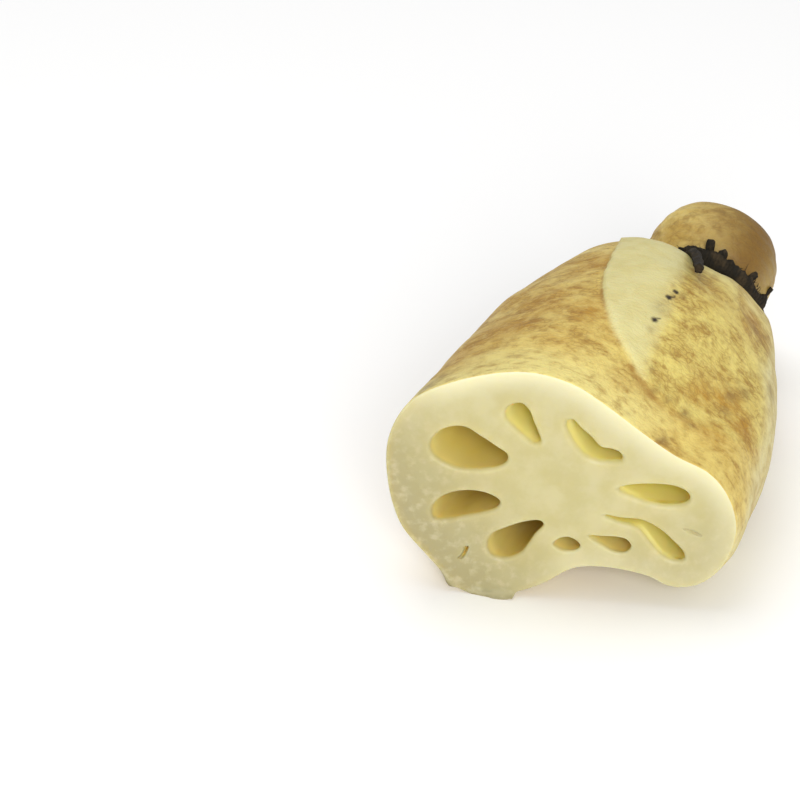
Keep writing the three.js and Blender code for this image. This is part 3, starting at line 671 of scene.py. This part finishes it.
def root_mesh():
    """Skin rings, the flat cut with a hole for each channel, and the channels' walls, joined
    into one closed surface; shares for its colours are kept as point values."""
    rings, angles, distances, stump_from, thin = skin_rings(closed_curve(CUT_OUTLINE, POINTS_AROUND))
    rows, columns = angles.shape
    on_stump = (np.arange(rows) >= stump_from)[:, None] + np.zeros((1, columns))
    zones, tints = skin_zones(rings, angles, distances, on_stump)
    corners = [rings.reshape(-1, 3), rings[-1].mean(0, keepdims=True) + NODE_ALONG * 0.02]
    shades = [np.zeros((rows * columns + 1, 4))]
    quads = [grid_faces(rows, columns, 0)]
    fans = [fan_faces(rows, columns, 0)]
    kinds = [np.full(len(quads[0]), SKIN)]
    kinds[0][:columns] = FLESH
    kinds[0][(stump_from + len(STUMP_SIDE) - 1) * columns:] = DRIED
    used = rows * columns + 1
    mouths = []
    mouth_numbers = []
    for deep, lip, brown, outline in CHANNELS:
        walls = channel_points(outline, deep, lip)
        size = walls.shape[:2]
        mouths.append(walls[0][:, [0, 2]])
        mouth_numbers.append(used + np.arange(size[1]))
        corners += [walls.reshape(-1, 3), walls[-1].mean(0, keepdims=True)]
        quads.append(grid_faces(*size, used))
        fans.append(fan_faces(*size, used))
        kinds.append(np.full(len(quads[-1]), FLESH))
        depth = np.append(walls[..., 1].ravel(), deep)
        shade = np.zeros((len(depth), 4))
        shade[:, 2] = np.clip(depth / SHADED_DEPTH, 0, 1)
        shade[:, 3] = brown
        shades.append(shade)
        used += size[0] * size[1] + 1
    rim = rings[0][:, [0, 2]]
    even, cut = cut_net(rim, mouths, np.arange(columns), mouth_numbers, used)
    marks_at = np.column_stack([even, even[:, 0]]) * np.array([0.5, 1.4, 0.5])
    corners.append(np.column_stack([even[:, 0], SAW_MARKS * value_noise(marks_at, 3.0, 13), even[:, 1]]))
    shades.append(np.zeros((len(even), 4)))
    corners = np.concatenate(corners)
    shades = np.concatenate(shades)
    on_face = np.flatnonzero(corners[:, 1] < FACE_DEPTH)
    shades[on_face, :2] = flesh_shades(corners[on_face], rim)
    kinds += [np.full(columns, DRIED), np.full(sum(map(len, fans[1:])) + len(cut), FLESH)]
    faces = np.concatenate(quads).tolist() + np.concatenate([*fans, cut]).tolist()
    mesh = smooth_mesh("lotus_root_grown", corners, faces)
    mesh.polygons.foreach_set("material_index", np.concatenate(kinds).astype(np.int32))
    with_shares(mesh, "zones", np.vstack([zones, zones[-1:]]))
    with_shares(mesh, "tints", np.vstack([tints, tints[-1:]]))
    with_shares(mesh, "shades", shades)
    layer = mesh.attributes.new("thin", "FLOAT", "POINT")
    layer.data.foreach_set("value", np.pad(thin.ravel(), (0, len(corners) - thin.size)).astype(np.float32))
    return mesh


def srgb(red, green, blue):
    """A display colour from 0 to 255 as linear values: the usual two-part gamma curve."""
    shares = np.array([red, green, blue]) / 255.0
    linear = np.where(shares <= 0.04045, shares / 12.92, ((shares + 0.055) / 1.055) ** 2.4)
    return (*(float(v) for v in linear), 1.0)


def node(tree, kind, inputs=None, **settings):
    """A node of the kind with its settings; each input is given a number, a colour or a link."""
    made = tree.nodes.new(kind)
    for key, value in settings.items():
        setattr(made, key, value)
    for key, value in (inputs or {}).items():
        if isinstance(value, bpy.types.NodeSocket):
            tree.links.new(value, made.inputs[key])
        else:
            made.inputs[key].default_value = value
    return made


def noise(tree, place, scale, detail, roughness=0.5, distortion=0.0):
    """Fractal noise on a place, as a node."""
    return node(tree, "ShaderNodeTexNoise", {"Vector": place, "Scale": scale, "Detail": detail,
                                             "Roughness": roughness, "Distortion": distortion})


def blended(tree, share, first, second):
    """The colour between two by a share: first at zero, second at one."""
    return node(tree, "ShaderNodeMix", {0: share, 6: first, 7: second}, data_type="RGBA",
                clamp_factor=True).outputs[2]


def painted(tree, ground, *layers):
    """The ground colour with each layer's colour laid over it by the layer's share, in turn."""
    for share, colour in layers:
        ground = blended(tree, share, ground, colour)
    return ground


def sloped(tree, value, low, high, to_low=0.0, to_high=1.0):
    """A value carried smoothly from the range low to high onto the range to_low to to_high."""
    made = node(tree, "ShaderNodeMapRange", {"Value": value, "From Min": low, "From Max": high,
                                             "To Min": to_low, "To Max": to_high},
                interpolation_type="SMOOTHSTEP")
    return made.outputs["Result"]


def worked(tree, operation, first, second):
    """One sum of two values, kept between zero and one."""
    made = node(tree, "ShaderNodeMath", {0: first, 1: second}, operation=operation, use_clamp=True)
    return made.outputs[0]


def times(tree, *values):
    """The product of values that lie between zero and one."""
    product = values[0]
    for value in values[1:]:
        product = worked(tree, "MULTIPLY", product, value)
    return product


def shares_of(tree, label):
    """The four shares that the mesh keeps under a label."""
    kept = node(tree, "ShaderNodeAttribute", attribute_name=label)
    parts = node(tree, "ShaderNodeSeparateColor", {"Color": kept.outputs["Color"]})
    return (*parts.outputs, kept.outputs["Alpha"])


def bumped(tree, shader, height, strength, distance):
    """Fine relief on the shader: a height in shares of a distance in metres."""
    bump = node(tree, "ShaderNodeBump", {"Height": height, "Strength": strength, "Distance": distance})
    tree.links.new(bump.outputs["Normal"], shader.inputs["Normal"])


def grown_marks():
    """Marks that plant skin carries: broad soft blotches, short strokes across the growth, a net of
    fine wrinkles (the borders of warped cells), grains and small specks, all on the object's own
    coordinates, the strokes and the net turned to the root's run."""
    group = bpy.data.node_groups.new("grown_marks", "ShaderNodeTree")
    group.interface.new_socket("Vector", in_out="INPUT", socket_type="NodeSocketVector")
    place = group.nodes.new("NodeGroupInput").outputs["Vector"]
    turned = node(group, "ShaderNodeMapping", {
        "Vector": place, "Rotation": (0.0, 0.0, math.radians(15.0)), "Scale": (190.0, 480.0, 190.0)})
    warp = node(group, "ShaderNodeTexNoise", {"Vector": place, "Scale": 260.0, "Detail": 2.0})
    bent = node(group, "ShaderNodeVectorMath", {
        0: warp.outputs["Color"], 1: (1.8, 1.8, 1.8), 2: turned.outputs["Vector"]}, operation="MULTIPLY_ADD")
    wrinkle = node(group, "ShaderNodeTexVoronoi", {"Vector": bent.outputs["Vector"], "Scale": 1.7},
                   feature="DISTANCE_TO_EDGE")
    cells = node(group, "ShaderNodeTexVoronoi", {"Vector": place, "Scale": 300.0, "Randomness": 1.0})
    chance = noise(group, place, 75.0, 3.0).outputs[0]
    dot = sloped(group, cells.outputs["Distance"], 0.1, 0.36, 1.0, 0.0)
    marks = {
        "Blotch": noise(group, place, 48.0, 5.0, 0.66, 0.3).outputs[0],
        "Patch": noise(group, place, 140.0, 4.0, 0.64, 0.35).outputs[0],
        "Streak": noise(group, turned.outputs["Vector"], 1.0, 5.0, 0.62, 0.35).outputs[0],
        "Net": sloped(group, wrinkle.outputs["Distance"], 0.0, 0.16, 1.0, 0.0),
        "Grain": noise(group, place, 560.0, 4.0, 0.7).outputs[0],
        "Speck": times(group, dot, sloped(group, chance, 0.52, 0.68)),
    }
    for label in marks:
        group.interface.new_socket(label, in_out="OUTPUT", socket_type="NodeSocketFloat")
    out = group.nodes.new("NodeGroupOutput")
    for label, value in marks.items():
        group.links.new(value, out.inputs[label])
    return group


def bark_colour(tree, blotch, patch, streak, warm, wrinkled):
    """The next segment's start: browner skin, with blotches, strokes and wrinkles over a tan one."""
    tan = blended(tree, sloped(tree, blotch, 0.38, 0.62), srgb(226, 204, 122), srgb(192, 161, 80))
    return painted(tree, tan, (times(tree, sloped(tree, patch, 0.46, 0.66), 0.55), srgb(138, 102, 36)),
                   (times(tree, sloped(tree, streak, 0.5, 0.7), 0.25), srgb(108, 76, 30)),
                   (times(tree, warm, 0.97), srgb(116, 84, 28)),
                   (times(tree, wrinkled, 0.5), srgb(100, 72, 34)))


def skin_material(marks):
    """The skin: yellow tan under soft orange-brown blotches, fine strokes and grains, cream on the
    cap and along the right side, a brown line with painted shade under the cap's edge, root scars and a
    browner stump."""
    material, tree, shader = new_material("root_skin")
    place = node(tree, "ShaderNodeTexCoord").outputs["Object"]
    cap, pale, dark, stump = shares_of(tree, "zones")
    warm, line, strip, stained = shares_of(tree, "tints")
    made = node(tree, "ShaderNodeGroup", {}, node_tree=marks)
    tree.links.new(place, made.inputs["Vector"])
    blotch, patch, streak, net, grain, speck = (
        made.outputs[label] for label in ("Blotch", "Patch", "Streak", "Net", "Grain", "Speck"))
    away = node(tree, "ShaderNodeSeparateXYZ", {"Vector": place}).outputs["Y"]

    # The ground colours: tan, paler by the cut and broadly browner, then the cap and the strip
    mottled = sloped(tree, patch, 0.34, 0.66)
    softly = sloped(tree, patch, 0.34, 0.7)
    tan = blended(tree, mottled, srgb(220, 198, 112), srgb(200, 172, 90))
    by_cut = times(tree, sloped(tree, away, -0.062, -0.044, 0.85, 0.0), line)
    broad = times(tree, sloped(tree, blotch, 0.4, 0.62), sloped(tree, away, -0.062, -0.03, 0.2, 0.7))
    cap_skin = blended(tree, mottled, srgb(217, 200, 113), srgb(193, 169, 88))
    olive = blended(tree, softly, srgb(210, 199, 140), srgb(196, 178, 114))
    colour = painted(tree, tan, (by_cut, srgb(226, 213, 136)), (broad, srgb(180, 143, 58)),
                     (sloped(tree, cap, 0.46, 0.54), cap_skin), (times(tree, strip, 0.9), olive))

    # The marks: warm patches, strokes, the net of wrinkles, darker and paler grains
    warmer = times(tree, warm, sloped(tree, patch, 0.3, 0.62, 0.45, 1.0))
    strokes = times(tree, sloped(tree, streak, 0.47, 0.68), sloped(tree, patch, 0.36, 0.62, 0.15, 0.75),
                    sloped(tree, strip, 0.0, 1.0, 1.0, 0.45))
    wrinkled = times(tree, net, sloped(tree, patch, 0.4, 0.6, 0.12, 0.5),
                     sloped(tree, strip, 0.0, 1.0, 1.0, 0.3), sloped(tree, away, -0.058, -0.04, 0.2, 1.0))
    dark_grain = times(tree, sloped(tree, grain, 0.5, 0.74), 0.4)
    pale_grain = times(tree, sloped(tree, grain, 0.5, 0.3), 0.3)
    colour = painted(tree, colour, (warmer, srgb(173, 128, 38)), (strokes, srgb(148, 108, 38)),
                     (wrinkled, srgb(136, 100, 42)), (dark_grain, srgb(152, 116, 46)),
                     (pale_grain, srgb(224, 204, 122)))

    # The cap's cream skin, and under its edge a brown line that is partly the skin's own colour and partly
    # painted shade at the foot of the raised edge
    cream = blended(tree, softly, srgb(211, 202, 143), srgb(203, 191, 128))
    # Painted shade together with the skin's brown: a band at the foot of the cap's raised edge.
    under = times(tree, sloped(tree, cap, 0.3, 0.47), sloped(tree, cap, 0.47, 0.55, 1.0, 0.0),
                  sloped(tree, patch, 0.36, 0.6, 0.1, 0.7), line)
    colour = painted(tree, colour, (pale, cream), (under, srgb(152, 110, 42)))

    # Specks, stains and root scars lie over everything
    speckled = times(tree, speck, sloped(tree, pale, 0.2, 0.9, 0.28, 0.03))
    stain = times(tree, stained, sloped(tree, grain, 0.35, 0.6, 0.6, 1.0))
    scar = sloped(tree, dark, 0.28, 0.84)
    bark = bark_colour(tree, blotch, patch, streak, warm, wrinkled)
    colour = painted(tree, colour, (stump, bark), (speckled, srgb(98, 68, 30)),
                     (stain, srgb(112, 82, 44)), (scar, srgb(40, 28, 16)))
    tree.links.new(colour, shader.inputs["Base Color"])
    tree.links.new(sloped(tree, patch, 0.3, 0.7, 0.44, 0.62), shader.inputs["Roughness"])
    shader.inputs["Subsurface Weight"].default_value = 0.15
    shader.inputs["Subsurface Radius"].default_value = (1.0, 0.6, 0.25)
    shader.inputs["Subsurface Scale"].default_value = 0.002
    shader.inputs["IOR"].default_value = 1.4
    relief = worked(tree, "ADD", times(tree, streak, 0.4), times(tree, grain, 0.3))
    bumped(tree, shader, worked(tree, "SUBTRACT", relief, times(tree, net, 0.15)), 0.35, 0.0008)
    return material


def flesh_material():
    """The flesh: pale and moist, whiter under the skin and, as painted light, more so on the upper
    right, greyer with soft white grains at the lower left, and yellow to brown deeper in the
    channels, the yellow painted brighter deeper in to stand in for light. Light goes some millimetres into
    it."""
    material, tree, shader = new_material("root_flesh")
    place = node(tree, "ShaderNodeTexCoord").outputs["Object"]
    rim, grey, depth, brown = shares_of(tree, "shades")
    cloud = noise(tree, place, 130.0, 4.0, 0.6).outputs[0]
    grains = noise(tree, place, 430.0, 3.0, 0.6).outputs[0]
    core = blended(tree, sloped(tree, cloud, 0.35, 0.65), srgb(192, 184, 140), srgb(184, 175, 126))
    watery = blended(tree, sloped(tree, grains, 0.45, 0.72), srgb(156, 147, 108), srgb(178, 169, 136))
    # Painted light: the channels' yellow grows brighter deeper in, standing in for light that reaches into
    # them; the yellow itself is the flesh's own.
    inner_with_painted_light = blended(tree, sloped(tree, depth, 0.05, 0.5), srgb(224, 214, 134), srgb(246, 234, 124))
    browned = times(tree, brown, sloped(tree, depth, 0.08, 0.5, 0.45, 1.0))
    inner_with_painted_light = blended(tree, browned, inner_with_painted_light, srgb(196, 163, 90))
    # The whitish rim is partly painted light: it is whiter on the upper right and higher up.
    colour = painted(tree, core, (rim, srgb(210, 206, 172)), (times(tree, grey, 0.85), watery),
                     (sloped(tree, depth, 0.006, 0.07), inner_with_painted_light))
    tree.links.new(colour, shader.inputs["Base Color"])
    tree.links.new(sloped(tree, cloud, 0.3, 0.7, 0.36, 0.5), shader.inputs["Roughness"])
    thin = node(tree, "ShaderNodeAttribute", attribute_name="thin").outputs["Fac"]
    tree.links.new(sloped(tree, thin, 0.0, 1.0, 0.85, 0.0), shader.inputs["Subsurface Weight"])
    shader.inputs["Subsurface Radius"].default_value = (1.0, 0.8, 0.4)
    shader.inputs["Subsurface Scale"].default_value = 0.006
    shader.inputs["IOR"].default_value = 1.36
    bumped(tree, shader, grains, 0.12, 0.0005)
    return material


def dried_material(marks):
    """The far end of the next segment's start: an older cut, dried brown and rough."""
    material, tree, shader = new_material("dried_cut")
    made = node(tree, "ShaderNodeGroup", {}, node_tree=marks)
    tree.links.new(node(tree, "ShaderNodeTexCoord").outputs["Object"], made.inputs["Vector"])
    blotch = made.outputs["Blotch"]
    colour = blended(tree, sloped(tree, blotch, 0.38, 0.62), srgb(196, 168, 112), srgb(150, 114, 64))
    colour = blended(tree, times(tree, made.outputs["Speck"], 0.7), colour, srgb(96, 64, 34))
    tree.links.new(colour, shader.inputs["Base Color"])
    shader.inputs["Roughness"].default_value = 0.8
    bumped(tree, shader, blotch, 0.5, 0.0015)
    return material


root = bpy.data.objects.new("lotus_root_grown", root_mesh())
scene.collection.objects.link(root)
marks = grown_marks()
for material in (skin_material(marks), flesh_material(), dried_material(marks)):
    root.data.materials.append(material)
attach(root, "root")
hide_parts("lotus_root")

# The collar. Black remains of leaf sheaths sit in the groove between the two segments as one
# ragged fibrous band, with the broken stubs of the node's roots standing out of it and short
# dry fibres along its edge. Everything is measured round the stump's axis, in millimetres: the
# band's reach along the stump against the turn round it, and where it starts.
BAND_TURN = np.array([-180, -140, -100, -60, -35, -22, -14, -6, 4, 12, 20, 32, 45, 54, 66, 78, 90, 97,
                      101, 105, 115, 135, 150, 180])
BAND_REACH = np.array([2.6, 3.0, 2.8, 3.2, 3.0, 4.5, 6.6, 6.8, 5.0, 5.0, 5.2, 5.0, 4.5, 4.3, 4.5, 4.5, 4.1,
                       3.8, 3.0, 1.4, 1.0, 1.1, 1.8, 2.6])
BAND_START = -0.6
BAND_THICKNESS = 1.5
BAND_NOISE_RADIUS = 12.0
BAND_RIDGES = 95
BAND_AROUND = 540
BAND_OVER = 20
BAND_UNDER = 9

# Root stubs: turn round the axis and place along it, heading out, forward and sideways, length,
# half thickness at the foot, and the share of it left at the broken end
ROOT_STUBS = [
    (100, 3.0, 0.8, -0.5, 0.1, 3.2, 1.1, 0.7), (75, 4.0, 0.76, 0.42, -0.23, 3.4, 1.2, 0.9),
    (60, 4.2, 0.7, 0.6, -0.3, 1.5, 1.2, 0.7), (27, 4.6, 0.6, 0.5, 0.0, 2.0, 1.1, 0.8),
    (48, 3.2, 0.7, 0.3, -0.5, 2.2, 1.2, 0.6), (-8, 5.6, 0.64, 0.7, -0.3, 3.8, 0.72, 0.6),
    (-12, 5.6, 0.75, -0.66, 0.23, 3.2, 0.8, 0.2), (-48, 3.2, 0.9, 0.4, 0.3, 4.8, 1.15, 0.7),
    (-85, 3.0, 0.9, -0.2, -0.4, 4.0, 1.2, 0.7), (-125, 3.4, 0.9, 0.3, 0.4, 5.2, 1.15, 0.6),
    (-165, 3.0, 0.9, 0.2, -0.3, 4.8, 1.2, 0.7), (150, 3.2, 0.8, 0.5, 0.3, 4.4, 1.15, 0.7),
]
STUB_FOOT_DEPTH = 0.9
STUB_BEND = 0.7
ROOT_AROUND = 30

# The one longer root: it leaves the collar and lies forward over the shoulder. Angles round the
# root's run against distances from the cut, and its half thickness
LONG_ROOT_Y = np.array([99, 96, 90, 83, 76, 69, 59])
LONG_ROOT_ANGLE = np.array([85, 82, 79, 76, 73, 70.3, 67.8])
LONG_ROOT_HALF = 1.2

# The dry fibres: how many, corners round one, length, half thickness and height of the foot
FIBRE_COUNT = 150
FIBRE_AROUND = 8
FIBRE_LONG = (0.9, 2.4)
FIBRE_HALF = (0.08, 0.17)
FIBRE_FOOT_OVER = 0.5


def band_mesh():
    """The sheath band, a closed loop of section carried round the stump: its upper side is raised
    by thickness * sin(pi u)^0.5 with ridges along the fibres, its lower side is sunk in the skin."""
    turn = np.radians(np.linspace(-180, 180, BAND_AROUND, endpoint=False))[:, None]
    over = np.linspace(0, 1, BAND_OVER)[None, :]
    under = np.linspace(1, 0, BAND_UNDER)[None, 1:-1]
    share = np.concatenate([over, under], 1) + 0 * turn
    sunk = -0.35 * np.sin(math.pi * under) - 0.25
    raised = np.concatenate([np.sin(math.pi * over) ** 0.5, sunk], 1) + 0 * turn
    ring = np.stack([BAND_NOISE_RADIUS * np.cos(turn), BAND_NOISE_RADIUS * np.sin(turn), 0 * turn], -1)
    ragged = 0.55 * value_noise(ring, 1.1, 31) + 0.5 * value_noise(ring, 2.9, 32)
    reach = through(BAND_TURN, BAND_REACH, np.degrees(turn))
    weight = smoothstep(1.2, 2.6, reach)
    reach = reach + ragged * weight
    along = BAND_START + (reach - BAND_START) * share + 0.2 * value_noise(ring, 2.0, 33) * (1 - share)
    thick = BAND_THICKNESS * (0.35 + 0.65 * weight) * (1 + 0.35 * value_noise(ring, 3.4, 34))
    out = stump_radius(np.maximum(along, 0.0)) + thick * raised
    turns = turn + 0 * share
    ridges = 0.16 * np.sin(BAND_RIDGES * turn + 3 * value_noise(ring, 2.2, 35))
    ridges = ridges + 0.28 * value_noise(round_node(along, turns, out), 1.3, 36)
    points = round_node(along, turns, out + ridges * np.clip(raised, 0, 1) * weight)
    rows, columns = share.shape
    quads = grid_faces(rows + 1, columns, 0) % (rows * columns)
    return smooth_mesh("sheath_band", points.reshape(-1, 3), quads.tolist())


def rods_mesh(name, paths, radii, side):
    """Closed rods, one along each path: rings of the given radii (one for each corner) square to
    the path, the first axis of each ring turned towards side, and a point that closes each end."""
    count, rows = paths.shape[:2]
    columns = radii.shape[-1]
    ahead = np.gradient(paths, axis=1)
    ahead /= np.linalg.norm(ahead, axis=2, keepdims=True)
    first = side[:, None] - ahead * (side[:, None] * ahead).sum(2, keepdims=True)
    first /= np.linalg.norm(first, axis=2, keepdims=True)
    second = np.cross(ahead, first)
    turn = np.arange(columns) / columns * 2 * math.pi
    circle = first[:, :, None] * np.cos(turn)[:, None] + second[:, :, None] * np.sin(turn)[:, None]
    rings = paths[:, :, None] + circle * radii[..., None]
    ends = np.stack([rings[:, -1].mean(1), rings[:, 0].mean(1)], 1)
    corners = np.concatenate([rings.reshape(count, -1, 3), ends], 1)
    loop = np.arange(columns)
    foot = np.column_stack([np.roll(loop, -1), loop, np.full(columns, rows * columns + 1)])
    start = (np.arange(count) * (rows * columns + 2))[:, None, None]
    quads = (grid_faces(rows, columns, 0) + start).reshape(-1, 4)
    fans = (np.concatenate([foot, fan_faces(rows, columns, 0)]) + start).reshape(-1, 3)
    return smooth_mesh(name, corners.reshape(-1, 3), quads.tolist() + fans.tolist())


def bent_paths(along, turn, over, parts, long, bends, share):
    """Paths that leave the stump at a height over its skin, straight along a heading given by its
    parts away from the axis, along it and round it, then bent aside and down with the square of
    the share. Also their headings and the vectors that point away from the axis."""
    away = NODE_ACROSS * np.cos(turn)[:, None] + NODE_UP * np.sin(turn)[:, None]
    round_it = np.cross(NODE_ALONG, away)
    out, fore, side = (part[:, None] for part in parts)
    heading = away * out + NODE_ALONG * fore + round_it * side
    heading /= np.linalg.norm(heading, axis=1, keepdims=True)
    foot = round_node(along, turn, stump_radius(along) + over)
    aside, down = (bend[:, None] for bend in bends)
    bent = round_it * aside - away * down
    paths = (foot[:, None] + heading[:, None] * (long[:, None] * share)[..., None]
             + bent[:, None] * (share ** 2)[:, None])
    return paths, heading, away


def ridged(phase):
    """Shares of a root's radius round it: five broad ridges and eleven fine ones."""
    around = np.arange(ROOT_AROUND) / ROOT_AROUND * 2 * math.pi
    return 1 + 0.1 * np.sin(5 * around + phase) + 0.05 * np.sin(11 * around)


def stub_mesh():
    """The root stubs: each bends a little on its way out, has lengthwise ridges and lumps on a
    radius falling from foot to end, and a hollowed, broken end."""
    turn, along, out, fore, side, long, thick, left = np.array(ROOT_STUBS).T
    turn = np.radians(turn)
    share = np.concatenate([np.linspace(0, 1, 20), [1.0, 0.99, 0.93]])
    bends = (STUB_BEND * np.sin(np.arange(len(turn)) * 2.4), STUB_BEND * (fore > 0))
    paths, heading, away = bent_paths(
        along, turn, -STUB_FOOT_DEPTH, (out, fore, side), long + STUB_FOOT_DEPTH, bends, share)
    paths[:, -3:] -= heading[:, None] * np.array([0.0, 0.15, 0.5])[None, :, None]
    size = thick[:, None] * (1 - (1 - left[:, None]) * share ** 1.3)
    size[:, -3:] *= np.array([0.86, 0.6, 0.25])
    lumps = 1 + 0.3 * value_noise(paths, 1.8, 41)
    radii = size[..., None] * ridged(np.arange(len(turn))[:, None])[:, None] * lumps[..., None]
    return rods_mesh("root_stubs", paths, radii, away)


def long_root_mesh():
    """The longer root: a rod that lies on the skin, sunk by a fifth of its half thickness, with
    lengthwise ridges, lumps and a torn end."""
    share = np.concatenate([np.linspace(0, 1, 60), [1.0, 0.995, 0.975]])
    y = through([0, 1], [LONG_ROOT_Y[0], LONG_ROOT_Y[-1]], share)
    angle = np.radians(through(LONG_ROOT_Y[::-1], LONG_ROOT_ANGLE[::-1], y))
    spoke = np.column_stack([np.cos(angle), np.sin(angle)]) * 30 + np.array([0, FACE_MIDDLE_HEIGHT])
    skin = skin_points(spoke, y, 0.0)[0][np.arange(len(y)), np.arange(len(y))]
    across_way, up_way = run_directions(y)
    away = across_way * np.cos(angle)[:, None] + up_way * np.sin(angle)[:, None]
    paths = (skin + away * (LONG_ROOT_HALF * 0.8))[None]
    size = LONG_ROOT_HALF * (0.85 + 0.15 * share)
    size[-3:] *= np.array([0.85, 0.55, 0.2])
    lumps = 1 + 0.25 * value_noise(paths, 2.2, 43)
    radii = size[None, :, None] * ridged(1.0) * lumps[..., None]
    return rods_mesh("long_root", paths, radii, away.mean(0, keepdims=True))


def fibre_mesh():
    """Short dry fibres, each a thin tapering rod that leaves the band's edge in a slight curve,
    lying mostly along the stump's axis: seeded draws of place, heading and length."""
    draw = np.random.default_rng(51)
    degrees = draw.uniform(-180, 180, FIBRE_COUNT * 3)
    reach = through(BAND_TURN, BAND_REACH, degrees)
    kept = np.flatnonzero(reach > 2.2)[:FIBRE_COUNT]
    turn = np.radians(degrees[kept])
    along = reach[kept] * draw.uniform(0.1, 0.95, len(turn))
    out = draw.uniform(0.15, 0.6, len(turn))
    fore = draw.uniform(-0.4, 1.0, len(turn))
    side = draw.uniform(-0.7, 0.7, len(turn))
    long = draw.uniform(*FIBRE_LONG, len(turn))
    bends = (draw.uniform(-0.5, 0.5, len(turn)), 0.25 * long)
    share = np.linspace(0, 1, 9)
    paths, _, away = bent_paths(along, turn, FIBRE_FOOT_OVER, (out, fore, side), long, bends, share)
    radii = draw.uniform(*FIBRE_HALF, len(turn))[:, None] * (1 - 0.8 * share)
    return rods_mesh("sheath_fibres", paths, radii[..., None] + np.zeros(FIBRE_AROUND), away)


def sheath_material():
    """Dead sheath and root bark: nearly black, browner in soft patches, dry and rough."""
    material, tree, shader = new_material("black_sheath")
    place = node(tree, "ShaderNodeTexCoord").outputs["Object"]
    patch = noise(tree, place, 420.0, 4.0, 0.6).outputs[0]
    fine = noise(tree, place, 1500.0, 3.0, 0.6).outputs[0]
    colour = blended(tree, sloped(tree, patch, 0.42, 0.7), srgb(33, 29, 22), srgb(62, 52, 38))
    tree.links.new(colour, shader.inputs["Base Color"])
    tree.links.new(sloped(tree, patch, 0.3, 0.7, 0.66, 0.88), shader.inputs["Roughness"])
    shader.inputs["Specular IOR Level"].default_value = 0.15
    bumped(tree, shader, fine, 0.5, 0.0006)
    return material


sheath = sheath_material()
for mesh in (band_mesh(), stub_mesh(), long_root_mesh(), fibre_mesh()):
    piece = bpy.data.objects.new(mesh.name, mesh)
    mesh.materials.append(sheath)
    scene.collection.objects.link(piece)
    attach(piece, "root")
    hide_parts("root_collar")
